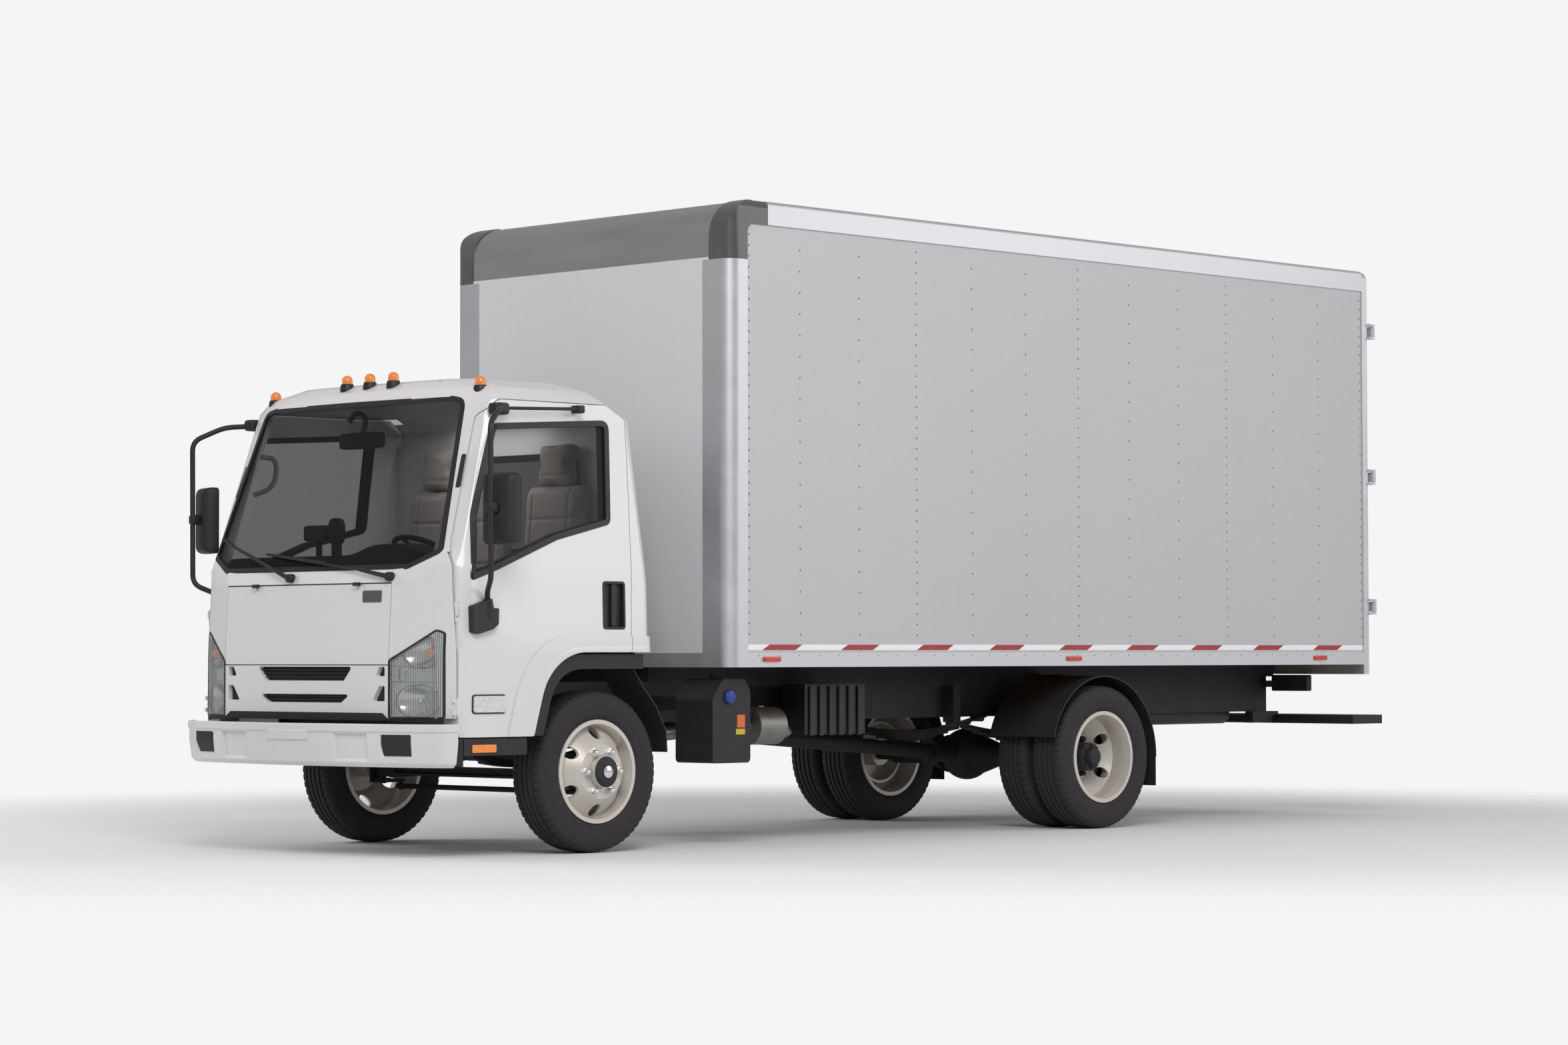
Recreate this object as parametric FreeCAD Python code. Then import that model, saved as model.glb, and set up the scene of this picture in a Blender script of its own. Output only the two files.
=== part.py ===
import FreeCAD
import Part
import math
import os

# Box truck: low-cab-forward chassis with a tilting cab and a dry-freight body.
# Millimetres. X to the vehicle's left, Y rearwards, Z up. While modelling, y = 0 is the
# front axle; SHIFT then puts the origin under the middle of the whole vehicle.

# ---------------------------------------------------------------- driving dimensions
WHEELBASE = 3810.0
FRONT_TRACK = 1665.0
REAR_TRACK = 1650.0            # between the middles of the twin wheels
DUAL_SPACING = 255.0
TYRE_R = 406.0
TYRE_W = 226.0
RIM_SEAT_R = 247.0
RIM_FLANGE_R = 260.0
RIM_W = 180.0                  # between the tyre's bead heels
DISC_T = 10.0
DISC_OFFSET = 127.5            # rim centre plane to the face that bolts to the hub
STUD_PCD = 222.25
STUD_COUNT = 6
STUD_R = 10.0
NUT_R = 18.0
NUT_L = 22.0
STUD_TIP = 9.0
HAND_HOLE_R = 31.0
HAND_HOLE_PCR = 192.0
HUB_R = 80.0
HUB_CAP_R = 30.0
SPINDLE_R = 25.0
RUN_FIT = 0.05                 # radial clearance of a turning fit
GAP = 5.0                      # between pieces that move past each other
SEAT = 0.3                     # between a pane or soft piece and its seat

RAIL_OUT = 425.0               # outer face of a frame rail
RAIL_H = 216.0
RAIL_FLANGE = 70.0
RAIL_T = 7.0
RAIL_TOP = 850.0
RAIL_FRONT = -950.0
RAIL_BACK = 6150.0

KINGPIN_X = 740.0
KINGPIN_R = 15.0
STEER_ARM = 120.0
TIE_ROD_Z = 294.0
TIE_ROD_R = 14.0

CAB_HALF = 1020.0
CAB_FLOOR_Z = 900.0
CAB_DECK_Z = 1075.0
CAB_DECK_Y = -440.0
CAB_SHEET = 35.0
FLOOR_T = 30.0
CAB_CORNER = 35.0              # length of the facets that soften the front corners
REAR_ROUND = 50.0              # rounding of the rear corners, in three facets
CAB_FRONT_T = 95.0              # front wall with the lamps and lid recess
CAB_PIVOT_Y = -1050.0
CAB_PIVOT_Z = 740.0
PIVOT_X = 390.0
DOOR_T = 60.0
DOOR_HINGE_X = 982.0
DOOR_HINGE_Y = -968.0
DOOR_HINGES = (700.0, 1160.0)    # underside of each hinge
HINGE_H = 80.0
HINGE_R = 8.0
HINGE_PIN_R = 4.0
HINGE_POCKET_R = 13.0
DOOR_SWEEP = 132.0              # reach of the door's inner front edge round its hinge
FLARE_T = 9.0                   # how far the arch lip stands out
GLASS_T = 6.0
GLASS_IN = 8.0                 # glass set back from the skin
LID_HALF = 645.0
LID_LOW = 945.0
LID_TOP = 1338.0
LID_T = 25.0
LID_PIN_Y = -1118.0
LID_PIN_Z = 1339.0
LID_HINGES = (-420.0, 380.0)
LAMP_DEEP = 78.0
GRILLE_Y = -1090.0             # back of the front panel below the floor

BUMPER_LOW = 447.0
BUMPER_TOP = 657.0
BUMPER_NOSE = -1250.0
BUMPER_T = 8.0
BUMPER_FLANGE = 60.0
PLATE_PAD = 4.0                 # flat pad for a number plate
PLATE_HOLES = 177.8
PLATE_HOLE_R = 3.5
PLATE_Z = 590.0
BUMPER_BEAM_Y = -1130.0          # back of the beam behind the bumper

BOX_FRONT = 790.0
BOX_BACK = 6330.0
BOX_HALF = 1080.0
BOX_LOW = 925.0
BOX_TOP = 3350.0
BOX_DECK = 1000.0              # top of the cross members
BOX_FLOOR_T = 35.0
WALL_T = 25.0
WALL_INSET = 8.0               # wall sheet behind the faces of the rails
TOP_RAIL_H = 125.0
CAP_BACK = 1070.0              # how far back a corner cap runs along the roof rail
CAP_EDGE_R = 60.0              # rounding of a corner cap between roof and side
CAP_FACETS = 6                 # facets in each of a corner cap's roundings
ROOF_T = 12.0
NOSE_R = 200.0
CORNER_R = 75.0
POST_W = 130.0
REAR_POST_W = 80.0
REAR_FRAME_D = 52.0
HEADER_H = 110.0
CARGO_DOOR_T = 30.0
CARGO_PIN_X = 1092.0
CARGO_PIN_Y = 6370.0
CARGO_PIN_R = 8.0
CARGO_HINGES = (1250.0, 2050.0, 2950.0)
STRAP_H = 60.0

STEP_BACK = 6503.0
STEP_FRONT = 6200.0
STEP_LOW = 560.0
STEP_H = 54.0
STEP_HALF = 1050.0

SHIFT = -(BUMPER_NOSE - PLATE_PAD + STEP_BACK) / 2.0

# outline of the left door seen from the side: y, z, corner radius
DOOR_LINE = [(-967, 592, 10), (-967, 1490, 400), (-745, 2165, 90), (-660, 2243, 50),
             (100, 2243, 40), (172, 2180, 30), (172, 1965, 300), (146, 1003, 20),
             (-395, 1003, 300), (-508, 592, 10)]
DOOR_WINDOW = [(-905, 1352, 15), (-868, 1670, 300), (-712, 2120, 50), (60, 2166, 50),
               (31, 1648, 40), (-333, 1562, 60), (-749, 1403, 60)]
# windscreen seen from the front: x, z, corner radius
SCREEN_LINE = [(-717, 1412, 60), (717, 1412, 60), (897, 1491, 30), (786, 2247, 70), (700, 2263, 60),
               (-700, 2263, 60), (-786, 2247, 70), (-897, 1491, 30)]
FLARE_LINE = [(-673, 560), (-673, 592), (-620, 800, 120), (-480, 1083, 330), (300, 1083), (300, 1003),
              (-395, 1003, 300), (-508, 592, 10), (-510, 560)]
REAR_WINDOW = [(-560, 1520, 60), (560, 1520, 60), (560, 2020, 60), (-560, 2020, 60)]
HEADLAMP_LINE = [(655, 684, 15), (925, 690, 25), (890, 1100, 30), (655, 975, 20)]
# height, half width, nose y, shoulder x and y, corner x and y, start of the side, back
CAB_LEVELS = [
    (590, CAB_HALF - 5, -1125, 650, -1118, 900, -1030, -955, 294),
    (1000, CAB_HALF, -1128, 650, -1118, 895, -1029, -950, 294),
    (1342, CAB_HALF - 8, -1112, 640, -1103, 890, -1018, -935, 289),
    (1420, CAB_HALF - 12, -1082, 700, -1060, 900, -1018, -930, 285),
    (2171, 942, -830, 646, -802, 797, -774, -712, 226),
    (2250, 932, -800, 640, -775, 786, -748, -690, 82),
    (2310, 880, -770, 600, -745, 730, -715, -660, 0),
    (2362, 700, -690, 500, -670, 600, -640, -580, -90),
]

os.makedirs("parts", exist_ok=True)
V = FreeCAD.Vector
AXES = {"x": V(1, 0, 0), "y": V(0, 1, 0), "z": V(0, 0, 1)}


# ---------------------------------------------------------------- helpers
def place(plane, a, b, c):
    """Point from two in-plane values and the distance along the plane's normal."""
    if plane == "yz":
        return V(c, a, b)
    if plane == "xz":
        return V(a, c, b)
    return V(a, b, c)


NORMAL = {"yz": V(1, 0, 0), "xz": V(0, 1, 0), "xy": V(0, 0, 1)}


def outline(points, plane, at):
    """Closed face from (a, b) or (a, b, radius) corners."""
    corners = [place(plane, p[0], p[1], at) for p in points]
    radii = [p[2] if len(p) > 2 else 0 for p in points]
    n = len(corners)
    starts, ends, arcs = [], [], []
    for i, p in enumerate(corners):
        into = (p - corners[i - 1]).normalize()
        out = (corners[(i + 1) % n] - p).normalize()
        turn = into.getAngle(out)
        if radii[i] and turn > 1e-3:
            t = radii[i] * math.tan(turn / 2)
            side = (out - into).normalize()
            centre = p + side * (radii[i] / math.cos(turn / 2))
            starts.append(p - into * t)
            ends.append(p + out * t)
            arcs.append(centre - side * radii[i])
        else:
            starts.append(p)
            ends.append(p)
            arcs.append(None)
    edges = []
    for i in range(n):
        if arcs[i]:
            edges.append(Part.Arc(starts[i], arcs[i], ends[i]).toShape())
        nxt = starts[(i + 1) % n]
        if ends[i].distanceToPoint(nxt) > 1e-6:
            edges.append(Part.LineSegment(ends[i], nxt).toShape())
    return Part.Face(Part.Wire(edges))


def prism(points, plane, lo, hi):
    return outline(points, plane, lo).extrude(NORMAL[plane] * (hi - lo))


def grown(points, plane, lo, hi, by):
    """Prism of an outline made larger, or smaller when by is negative."""
    return outline(points, plane, lo).makeOffset2D(by).extrude(NORMAL[plane] * (hi - lo))


def block(x0, x1, y0, y1, z0, z1):
    return Part.makeBox(x1 - x0, y1 - y0, z1 - z0, V(x0, y0, z0))


def rod(start, axis, r, length):
    return Part.makeCylinder(r, length, V(*start), AXES[axis] if isinstance(axis, str) else axis)


def ring(start, axis, r_out, r_in, length):
    return rod(start, axis, r_out, length).cut(rod(start, axis, r_in, length))


def mirrored(shape):
    return shape.mirror(V(0, 0, 0), V(1, 0, 0))


def pair(shape):
    return [shape, mirrored(shape)]


def joined(shapes):
    shapes = list(shapes)
    return shapes[0].multiFuse(shapes[1:]).removeSplitter() if len(shapes) > 1 else shapes[0]


def tube(points, r):
    """Round bar along straight runs joined by arcs; points carry a bend radius."""
    pts = [V(*p[:3]) for p in points]
    edges, last = [], pts[0]
    for i in range(1, len(pts) - 1):
        into = (pts[i] - pts[i - 1]).normalize()
        out = (pts[i + 1] - pts[i]).normalize()
        turn = into.getAngle(out)
        bend = points[i][3]
        t = bend * math.tan(turn / 2)
        side = (out - into).normalize()
        centre = pts[i] + side * (bend / math.cos(turn / 2))
        a, b = pts[i] - into * t, pts[i] + out * t
        edges.append(Part.LineSegment(last, a).toShape())
        edges.append(Part.Arc(a, centre - side * bend, b).toShape())
        last = b
    edges.append(Part.LineSegment(last, pts[-1]).toShape())
    ends = Part.Wire([Part.makeCircle(r, pts[0], pts[1] - pts[0])])
    return Part.Wire(edges).makePipeShell([ends], True, True)


def turned(points, x, y, z):
    """Solid of revolution about an X axis; points are (distance along X, radius)."""
    wire = Part.makePolygon([V(x + a, y, z + r) for a, r in points + [points[0]]])
    return Part.Face(wire).revolve(V(x, y, z), V(1, 0, 0), 360)


def export(node, shapes):
    shapes = shapes if isinstance(shapes, list) else [shapes]
    solids = []
    for s in shapes:
        solids.extend(s.Solids)
    whole = solids[0].copy() if len(solids) == 1 else Part.makeCompound(solids)
    whole.translate(V(0, SHIFT, 0))
    bad = [i for i, s in enumerate(whole.Solids) if not s.isValid()]
    whole.exportStep("parts/%s.step" % node)
    print(node, len(solids), "solids", "INVALID %s" % bad if bad else "ok")


BUMPER_PLAN = [(-1044, -1000), (-1044, -1040), (-1000, -1092), (-840, -1160), (-680, -1190), (-353, -1228),
               (-60, BUMPER_NOSE), (60, BUMPER_NOSE), (353, -1228), (680, -1190), (840, -1160),
               (1000, -1092), (1044, -1040), (1044, -1000)]


def bumper_solid(inset, z0, z1):
    def ring_at(z, extra):
        face = outline([(x * (1 - extra / 1044.0), y + extra * 0.9) for x, y in BUMPER_PLAN], "xy", z)
        if inset:
            face = face.makeOffset2D(-inset)
        return face.OuterWire
    return Part.makeLoft([ring_at(z0, 30), ring_at(z0 + (z1 - z0) * 0.55, 0), ring_at(z1, 0)], True, True)


# ---------------------------------------------------------------- chassis
def channel(sign):
    """Frame rail: channel with its flanges inwards."""
    web = block(RAIL_OUT - RAIL_T, RAIL_OUT, RAIL_FRONT, RAIL_BACK, RAIL_TOP - RAIL_H, RAIL_TOP)
    top = block(RAIL_OUT - RAIL_FLANGE, RAIL_OUT, RAIL_FRONT, RAIL_BACK, RAIL_TOP - RAIL_T, RAIL_TOP)
    low = top.translated(V(0, 0, RAIL_T - RAIL_H))
    rail = joined([web, top, low])
    return rail if sign > 0 else mirrored(rail)


RAIL_LOW = RAIL_TOP - RAIL_H
RAIL_IN = RAIL_OUT - RAIL_T
cross_members = [  # y, depth, z low, z high
    (RAIL_FRONT + 30, 90, RAIL_LOW + 10, RAIL_LOW + 120),
    (700, 80, RAIL_LOW + 60, RAIL_TOP - 20),
    (1750, 80, RAIL_LOW + 60, RAIL_TOP - 20),
    (2750, 80, RAIL_LOW + 60, RAIL_TOP - 20),
    (WHEELBASE - 520, 90, RAIL_LOW + 70, RAIL_TOP - 20),
    (WHEELBASE + 620, 90, RAIL_LOW + 60, RAIL_TOP - 20),
    (RAIL_BACK - 100, 90, RAIL_LOW + 10, RAIL_TOP - 20),
]
frame = [channel(1), channel(-1)]
for y, depth, z0, z1 in cross_members:
    frame.append(block(-RAIL_IN, RAIL_IN, y, y + depth, z0, z1).cut(
        block(-RAIL_IN, RAIL_IN, y + 8, y + depth, z0 + 8, z1 - 8)))
bumper_arm = block(365, 415, BUMPER_BEAM_Y, RAIL_FRONT + 150, 505, RAIL_LOW)
pivot_arm = block(PIVOT_X - 20, PIVOT_X + 20, CAB_PIVOT_Y - 24, RAIL_FRONT, CAB_PIVOT_Z - 24, CAB_PIVOT_Z + 24)
pivot_arm = pivot_arm.fuse(block(PIVOT_X - 20, RAIL_IN, RAIL_FRONT, RAIL_FRONT + 30, CAB_PIVOT_Z - 24, CAB_PIVOT_Z + 24))
pivot_pin = rod((PIVOT_X - 50, CAB_PIVOT_Y, CAB_PIVOT_Z), "x", 15, 100)
bumper_beam = block(-640, 640, BUMPER_BEAM_Y - 40, BUMPER_BEAM_Y, 505, 600)
pads = []
for x in (-620, -310, 270, 580):
    pads.append(block(x, x + 40, BUMPER_NOSE - 10, BUMPER_BEAM_Y - 40, 520, 580).common(
        bumper_solid(BUMPER_T, BUMPER_LOW + BUMPER_T, BUMPER_TOP - BUMPER_T)))
frame.append(joined([bumper_beam] + pair(bumper_arm) + pads))
frame += pair(pivot_arm.fuse(pivot_pin))
for y0, y1 in ((830, 6224),):
    frame += pair(block(RAIL_OUT - RAIL_FLANGE, RAIL_OUT, y0, y1, RAIL_TOP, BOX_LOW))
export("frame", frame)


def leaf_spring(x, y, z, half, rise, count, width):
    """Stack of arched leaves; the main leaf's ends carry the eyes."""
    leaves = []
    t = 11.0
    for i in range(count):
        h = half * (1 - 0.16 * i)
        r = rise * (h / half) ** 2
        top = z - i * t
        a = Part.Arc(V(x, y - h, top + r), V(x, y, top), V(x, y + h, top + r)).toShape()
        b = Part.Arc(V(x, y - h, top + r - t), V(x, y, top - t), V(x, y + h, top + r - t)).toShape()
        s1 = Part.LineSegment(V(x, y - h, top + r), V(x, y - h, top + r - t)).toShape()
        s2 = Part.LineSegment(V(x, y + h, top + r), V(x, y + h, top + r - t)).toShape()
        leaves.append(Part.Face(Part.Wire([a, s2, b, s1])).extrude(V(width, 0, 0)))
    for e in (-1, 1):
        leaves.append(rod((x, y + e * half, z + rise - t / 2), "x", 24, width))
    return joined(leaves)


SPRING_W = 70.0
FRONT_SPRING_X = RAIL_OUT - SPRING_W
REAR_SPRING_X = RAIL_OUT + 12.0
REAR_SPRING_HALF = 640.0
FRONT_SPRING_HALF = 560.0
AXLE_TOP = 408.0
springs = []
for sx, sy, half, rise, count, base in (
        (FRONT_SPRING_X, 0.0, FRONT_SPRING_HALF, 95.0, 4, AXLE_TOP + 44 + 8),
        (REAR_SPRING_X, WHEELBASE, REAR_SPRING_HALF, 70.0, 6, TYRE_R + 62 + 66 + 8)):
    pack = leaf_spring(sx, sy, base, half, rise, count, SPRING_W)
    eye_z = base + rise - 5.5
    parts = [pack]
    for e in (-1, 1):
        if sy == 0:
            hanger = block(sx - 0, sx + SPRING_W, sy + e * half - 22, sy + e * half + 22, eye_z, RAIL_LOW)
        else:
            hanger = block(RAIL_OUT, sx + SPRING_W, sy + e * half - 30, sy + e * half + 30, eye_z, RAIL_TOP - 40)
        parts.append(hanger)
    parts.append(block(sx - 0, sx + SPRING_W, sy - 55, sy + 55, base - count * 11 - 8, base - count * 11 + 2))
    springs += pair(joined(parts))
export("leaf_springs", springs)

# front axle: dropped beam with an eye for each king pin
beam_line = [(-KINGPIN_X, TYRE_R - 34), (-KINGPIN_X + 100, TYRE_R - 60), (-430, AXLE_TOP - 50 + 0),
             (430, AXLE_TOP - 50), (KINGPIN_X - 100, TYRE_R - 60), (KINGPIN_X, TYRE_R - 34),
             (KINGPIN_X, TYRE_R + 34), (KINGPIN_X - 110, TYRE_R + 20), (430, AXLE_TOP), (-430, AXLE_TOP),
             (-KINGPIN_X + 110, TYRE_R + 20), (-KINGPIN_X, TYRE_R + 34)]
beam = prism(beam_line, "xz", -40, 40)
for s in (-1, 1):
    beam = beam.cut(block(-600, 600, 14 if s > 0 else -60, 60 if s > 0 else -14, AXLE_TOP - 38, AXLE_TOP - 12))
for s in (-1, 1):
    beam = beam.fuse(rod((s * KINGPIN_X, 0, TYRE_R - 60), "z", 32, 120))
for s in (-1, 1):
    beam = beam.cut(rod((s * KINGPIN_X, 0, TYRE_R - 70), "z", KINGPIN_R + RUN_FIT, 140))
export("front_axle", beam.removeSplitter())

# rear axle: tube with a differential bowl, pinion nose forwards
bowl = Part.makeSphere(150, V(0, WHEELBASE + 10, TYRE_R))
bowl = bowl.common(block(-130, 130, WHEELBASE - 200, WHEELBASE + 200, TYRE_R - 150, TYRE_R + 150))
nose = rod((0, WHEELBASE - 300, TYRE_R + 20), "y", 60, 300)
flange = rod((0, WHEELBASE - 320, TYRE_R + 20), "y", 75, 20)
axle_tube = rod((-560, WHEELBASE, TYRE_R), "x", 62, 1120)
ends = [rod((s * 560 if s > 0 else -790, WHEELBASE, TYRE_R), "x", 45, 230) for s in (-1, 1)]
cones = [Part.makeCone(62, 110, 150, V(s * 280, WHEELBASE, TYRE_R), V(-s, 0, 0)) for s in (-1, 1)]
export("rear_axle", joined([bowl, nose, flange, axle_tube] + ends + cones))

# engine and gearbox as one plain block, sump below
engine = joined([block(-270, 270, -330, 240, 520, 1030), block(-170, 170, 240, 660, 500, 820),
                 block(-150, 150, 75, 400, 440, 520)])
export("engine", engine)

shaft_a = V(0, 660, 640)
shaft_b = V(0, WHEELBASE - 320, TYRE_R + 20)
shaft_dir = shaft_b - shaft_a
drive = rod((shaft_a.x, shaft_a.y, shaft_a.z), shaft_dir, 42, shaft_dir.Length)
drive = drive.cut(block(-200, 200, WHEELBASE - 320, WHEELBASE, 0, 1000)).cut(block(-200, 200, 500, 660, 0, 1000))
export("driveshaft", drive)

# exhaust: muffler under the left rail with its pipe
muffler = rod((600, 1400, 610), "y", 100, 200)
pipe_in = tube([(600, 1400, 610), (600, 1250, 610, 80), (340, 900, 560, 120), (340, 700, 560)], 35)
pipe_out = tube([(600, 1600, 610), (600, 1650, 610, 40), (600, 1700, 570)], 30)
strap = block(RAIL_OUT, 600, 1480, 1520, 690, 716)
export("exhaust", joined([muffler, pipe_in, pipe_out, strap]))

# battery and fluid box on the left, ribbed unit behind it
box_line = [(775, 430, 25), (1050, 430, 25), (1050, 800, 30), (1010, 865, 20), (850, 865, 20), (775, 760, 40)]
tank = prism(box_line, "yz", 690, 965)
cap = rod((865, 905, 865), "z", 38, 22)
bracket = block(RAIL_OUT, 690, 880, 960, 700, 770)
export("side_tank", joined([tank, cap, bracket]))
ribbed = [block(530, 700, 1730, 2200, 560, 830), block(RAIL_OUT, 530, 1900, 2000, 700, 780)]
for i in range(6):
    ribbed.append(block(520, 712, 1760 + i * 75, 1790 + i * 75, 555, 820))
battery = joined(ribbed)
right_box = prism([(1100, 480, 30), (1650, 480, 30), (1650, 800, 30), (1100, 800, 30)], "yz", -900, -520)
export("battery_boxes", [battery, right_box.fuse(block(-520, -RAIL_OUT, 1300, 1400, 680, 760))])
tank_body = prism([(-345, 560, 60), (345, 560, 60), (345, 825, 60), (-345, 825, 60)], "xz", 5080, 5880)
straps = [block(-RAIL_IN, RAIL_IN, y, y + 50, 835, RAIL_TOP - RAIL_T) for y in (5200, 5700)]
hang = [block(-60, 60, y, y + 50, 820, 838) for y in (5200, 5700)]
export("fuel_tank", joined([tank_body] + straps + hang))

# ---------------------------------------------------------------- mudguards
GUARD_T = 6.0
GUARD_GAP = 50.0                # tyre tread to guard


def swept_guard(centre_y, r, a0, a1, x0, x1):
    """Curved guard over a wheel from angle a0 to a1 (0 = rearwards, 90 = up)."""
    def at(rad, ang):
        ang = math.radians(ang)
        return V(x0, centre_y + rad * math.cos(ang), TYRE_R + rad * math.sin(ang))
    mid = (a0 + a1) / 2
    e1 = Part.Arc(at(r, a0), at(r, mid), at(r, a1)).toShape()
    e2 = Part.Arc(at(r + GUARD_T, a0), at(r + GUARD_T, mid), at(r + GUARD_T, a1)).toShape()
    l1 = Part.LineSegment(at(r, a0), at(r + GUARD_T, a0)).toShape()
    l2 = Part.LineSegment(at(r, a1), at(r + GUARD_T, a1)).toShape()
    return Part.Face(Part.Wire([e1, l2, e2, l1])).extrude(V(x1 - x0, 0, 0))


FRONT_GUARD_X0, FRONT_GUARD_X1 = 700.0, 950.0
guard_line = [(228, 928), (305, 825), (392, 731), (462, 600), (468, 495),
              (462, 495), (456, 598), (386, 728), (299, 822), (222, 925)]
front_guard = prism(guard_line, "yz", FRONT_GUARD_X0, FRONT_GUARD_X1)
front_guard = front_guard.fuse(block(RAIL_OUT, FRONT_GUARD_X0 + 10, 392, 440, 715, 745))
rear_guard = swept_guard(WHEELBASE, TYRE_R + GUARD_GAP, -1, 165, 580, 1062)
flap = block(585, 1058, WHEELBASE + TYRE_R + GUARD_GAP, WHEELBASE + TYRE_R + GUARD_GAP + GUARD_T, 232, TYRE_R)
guard_bar = block(RAIL_OUT, 620, WHEELBASE + 150, WHEELBASE + 190, TYRE_R + TYRE_R + 20, TYRE_R + TYRE_R + 60)
export("mudguards", pair(front_guard) + pair(joined([rear_guard, flap, guard_bar])))

# ---------------------------------------------------------------- front bumper
outer = bumper_solid(0, BUMPER_LOW, BUMPER_TOP)
bumper = outer.cut(bumper_solid(BUMPER_T, BUMPER_LOW + BUMPER_T, BUMPER_TOP - BUMPER_T))
bumper = bumper.cut(bumper_solid(BUMPER_FLANGE, BUMPER_LOW - 1, BUMPER_TOP + 1))
bumper = bumper.cut(block(-1000, 1000, -1070, -900, 400, 700))
for s in (-1, 1):
    lo, hi = sorted((s * 681, s * 842))
    bumper = bumper.cut(block(lo, hi, -1300, -1060, 513, 598))
    lo, hi = sorted((s * 353, s * 577))
    bumper = bumper.cut(block(lo, hi, -1300, -1100, 490, 605))
pocket_back = bumper_solid(BUMPER_T - 2, BUMPER_LOW + 20, BUMPER_TOP - 20).cut(
    bumper_solid(BUMPER_T + 8, BUMPER_LOW + 10, BUMPER_TOP - 10))
bumper = bumper.fuse(pair(pocket_back.common(block(347, 576, -1260, -1080, 480, 615))))
pad = block(-155, 155, BUMPER_NOSE - PLATE_PAD, BUMPER_NOSE + 14, PLATE_Z - 20, PLATE_Z + 20)
pad = pad.cut(bumper_solid(BUMPER_T, BUMPER_LOW + BUMPER_T, BUMPER_TOP - BUMPER_T))
bumper = bumper.fuse(pad)
for x in (-PLATE_HOLES / 2, PLATE_HOLES / 2):
    bumper = bumper.cut(rod((x, BUMPER_NOSE - 20, PLATE_Z), "y", PLATE_HOLE_R, 60))
export("front_bumper", max(bumper.removeSplitter().Solids, key=lambda s: s.Volume))

# dark plates that close the bumper's outer recesses from behind
back_skin = bumper_solid(BUMPER_T + SEAT, BUMPER_LOW + 20, BUMPER_TOP - 20).cut(
    bumper_solid(BUMPER_T + 6, BUMPER_LOW + 10, BUMPER_TOP - 10))
export("bumper_inserts", pair(back_skin.common(block(670, 853, -1260, -1080, 503, 608))))

# rear impact guard with its uprights
step = block(-STEP_HALF, STEP_HALF, STEP_FRONT, STEP_BACK, STEP_LOW, STEP_LOW + STEP_H).cut(
    block(-STEP_HALF + 60, STEP_HALF - 60, STEP_FRONT + 60, STEP_BACK - 60, STEP_LOW - 1, STEP_LOW + STEP_H - 6))
uprights = [block(s * 420 - 30, s * 420 + 30, 5980, 6240, STEP_LOW + STEP_H - 50, RAIL_LOW) for s in (-1, 1)]
export("rear_bumper", joined([step] + uprights))

# ---------------------------------------------------------------- cargo box
SKIN = BOX_HALF - WALL_INSET
floor_parts = [block(-SKIN + WALL_T, SKIN - WALL_T, BOX_FRONT + WALL_T, BOX_BACK - REAR_FRAME_D,
                     BOX_DECK, BOX_DECK + BOX_FLOOR_T)]
count = 14
for i in range(count):
    y = BOX_FRONT + 60 + i * (BOX_BACK - BOX_FRONT - 200) / (count - 1)
    floor_parts.append(block(-SKIN + WALL_T, SKIN - WALL_T, y, y + 45, BOX_LOW, BOX_DECK).cut(
        block(-SKIN, SKIN, y + 6, y + 50, BOX_LOW + 8, BOX_DECK - 8)))
side_wall = block(SKIN - WALL_T, SKIN, BOX_FRONT + CORNER_R, BOX_BACK - REAR_FRAME_D, BOX_DECK, BOX_TOP - TOP_RAIL_H)
front_wall = block(-SKIN + CORNER_R, SKIN - CORNER_R, BOX_FRONT, BOX_FRONT + WALL_T, BOX_DECK, BOX_TOP - NOSE_R - 100)
roof = block(-BOX_HALF + 30, BOX_HALF - 30, BOX_FRONT + NOSE_R, BOX_BACK - REAR_FRAME_D, BOX_TOP - ROOF_T, BOX_TOP)
bows = [block(-BOX_HALF + 30, BOX_HALF - 30, y, y + 30, BOX_TOP - ROOF_T - 25, BOX_TOP - ROOF_T)
        for y in range(1200, 6200, 610)]
export("box_roof", joined([roof] + bows))
# nose panel: quarter round from the front wall to the roof
nz = BOX_TOP - NOSE_R


def quarter(r, x0, x1):
    c_y, c_z = BOX_FRONT + NOSE_R, nz
    a = Part.Arc(V(x0, c_y - r, c_z), V(x0, c_y - r * math.sin(math.pi / 4), c_z + r * math.sin(math.pi / 4)),
                 V(x0, c_y, c_z + r)).toShape()
    return a, V(x0, c_y - r, c_z), V(x0, c_y, c_z + r), x1 - x0


def nose(r_out, r_in, low, x0, x1):
    a, a0, a1, w = quarter(r_out, x0, x1)
    b, b0, b1, w = quarter(r_in, x0, x1)
    p0, q0 = V(a0.x, a0.y, low), V(b0.x, b0.y, low)
    wire = Part.Wire([a, Part.LineSegment(a1, b1).toShape(), b, Part.LineSegment(b0, q0).toShape(),
                      Part.LineSegment(q0, p0).toShape(), Part.LineSegment(p0, a0).toShape()])
    return Part.Face(wire).extrude(V(w, 0, 0))


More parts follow.
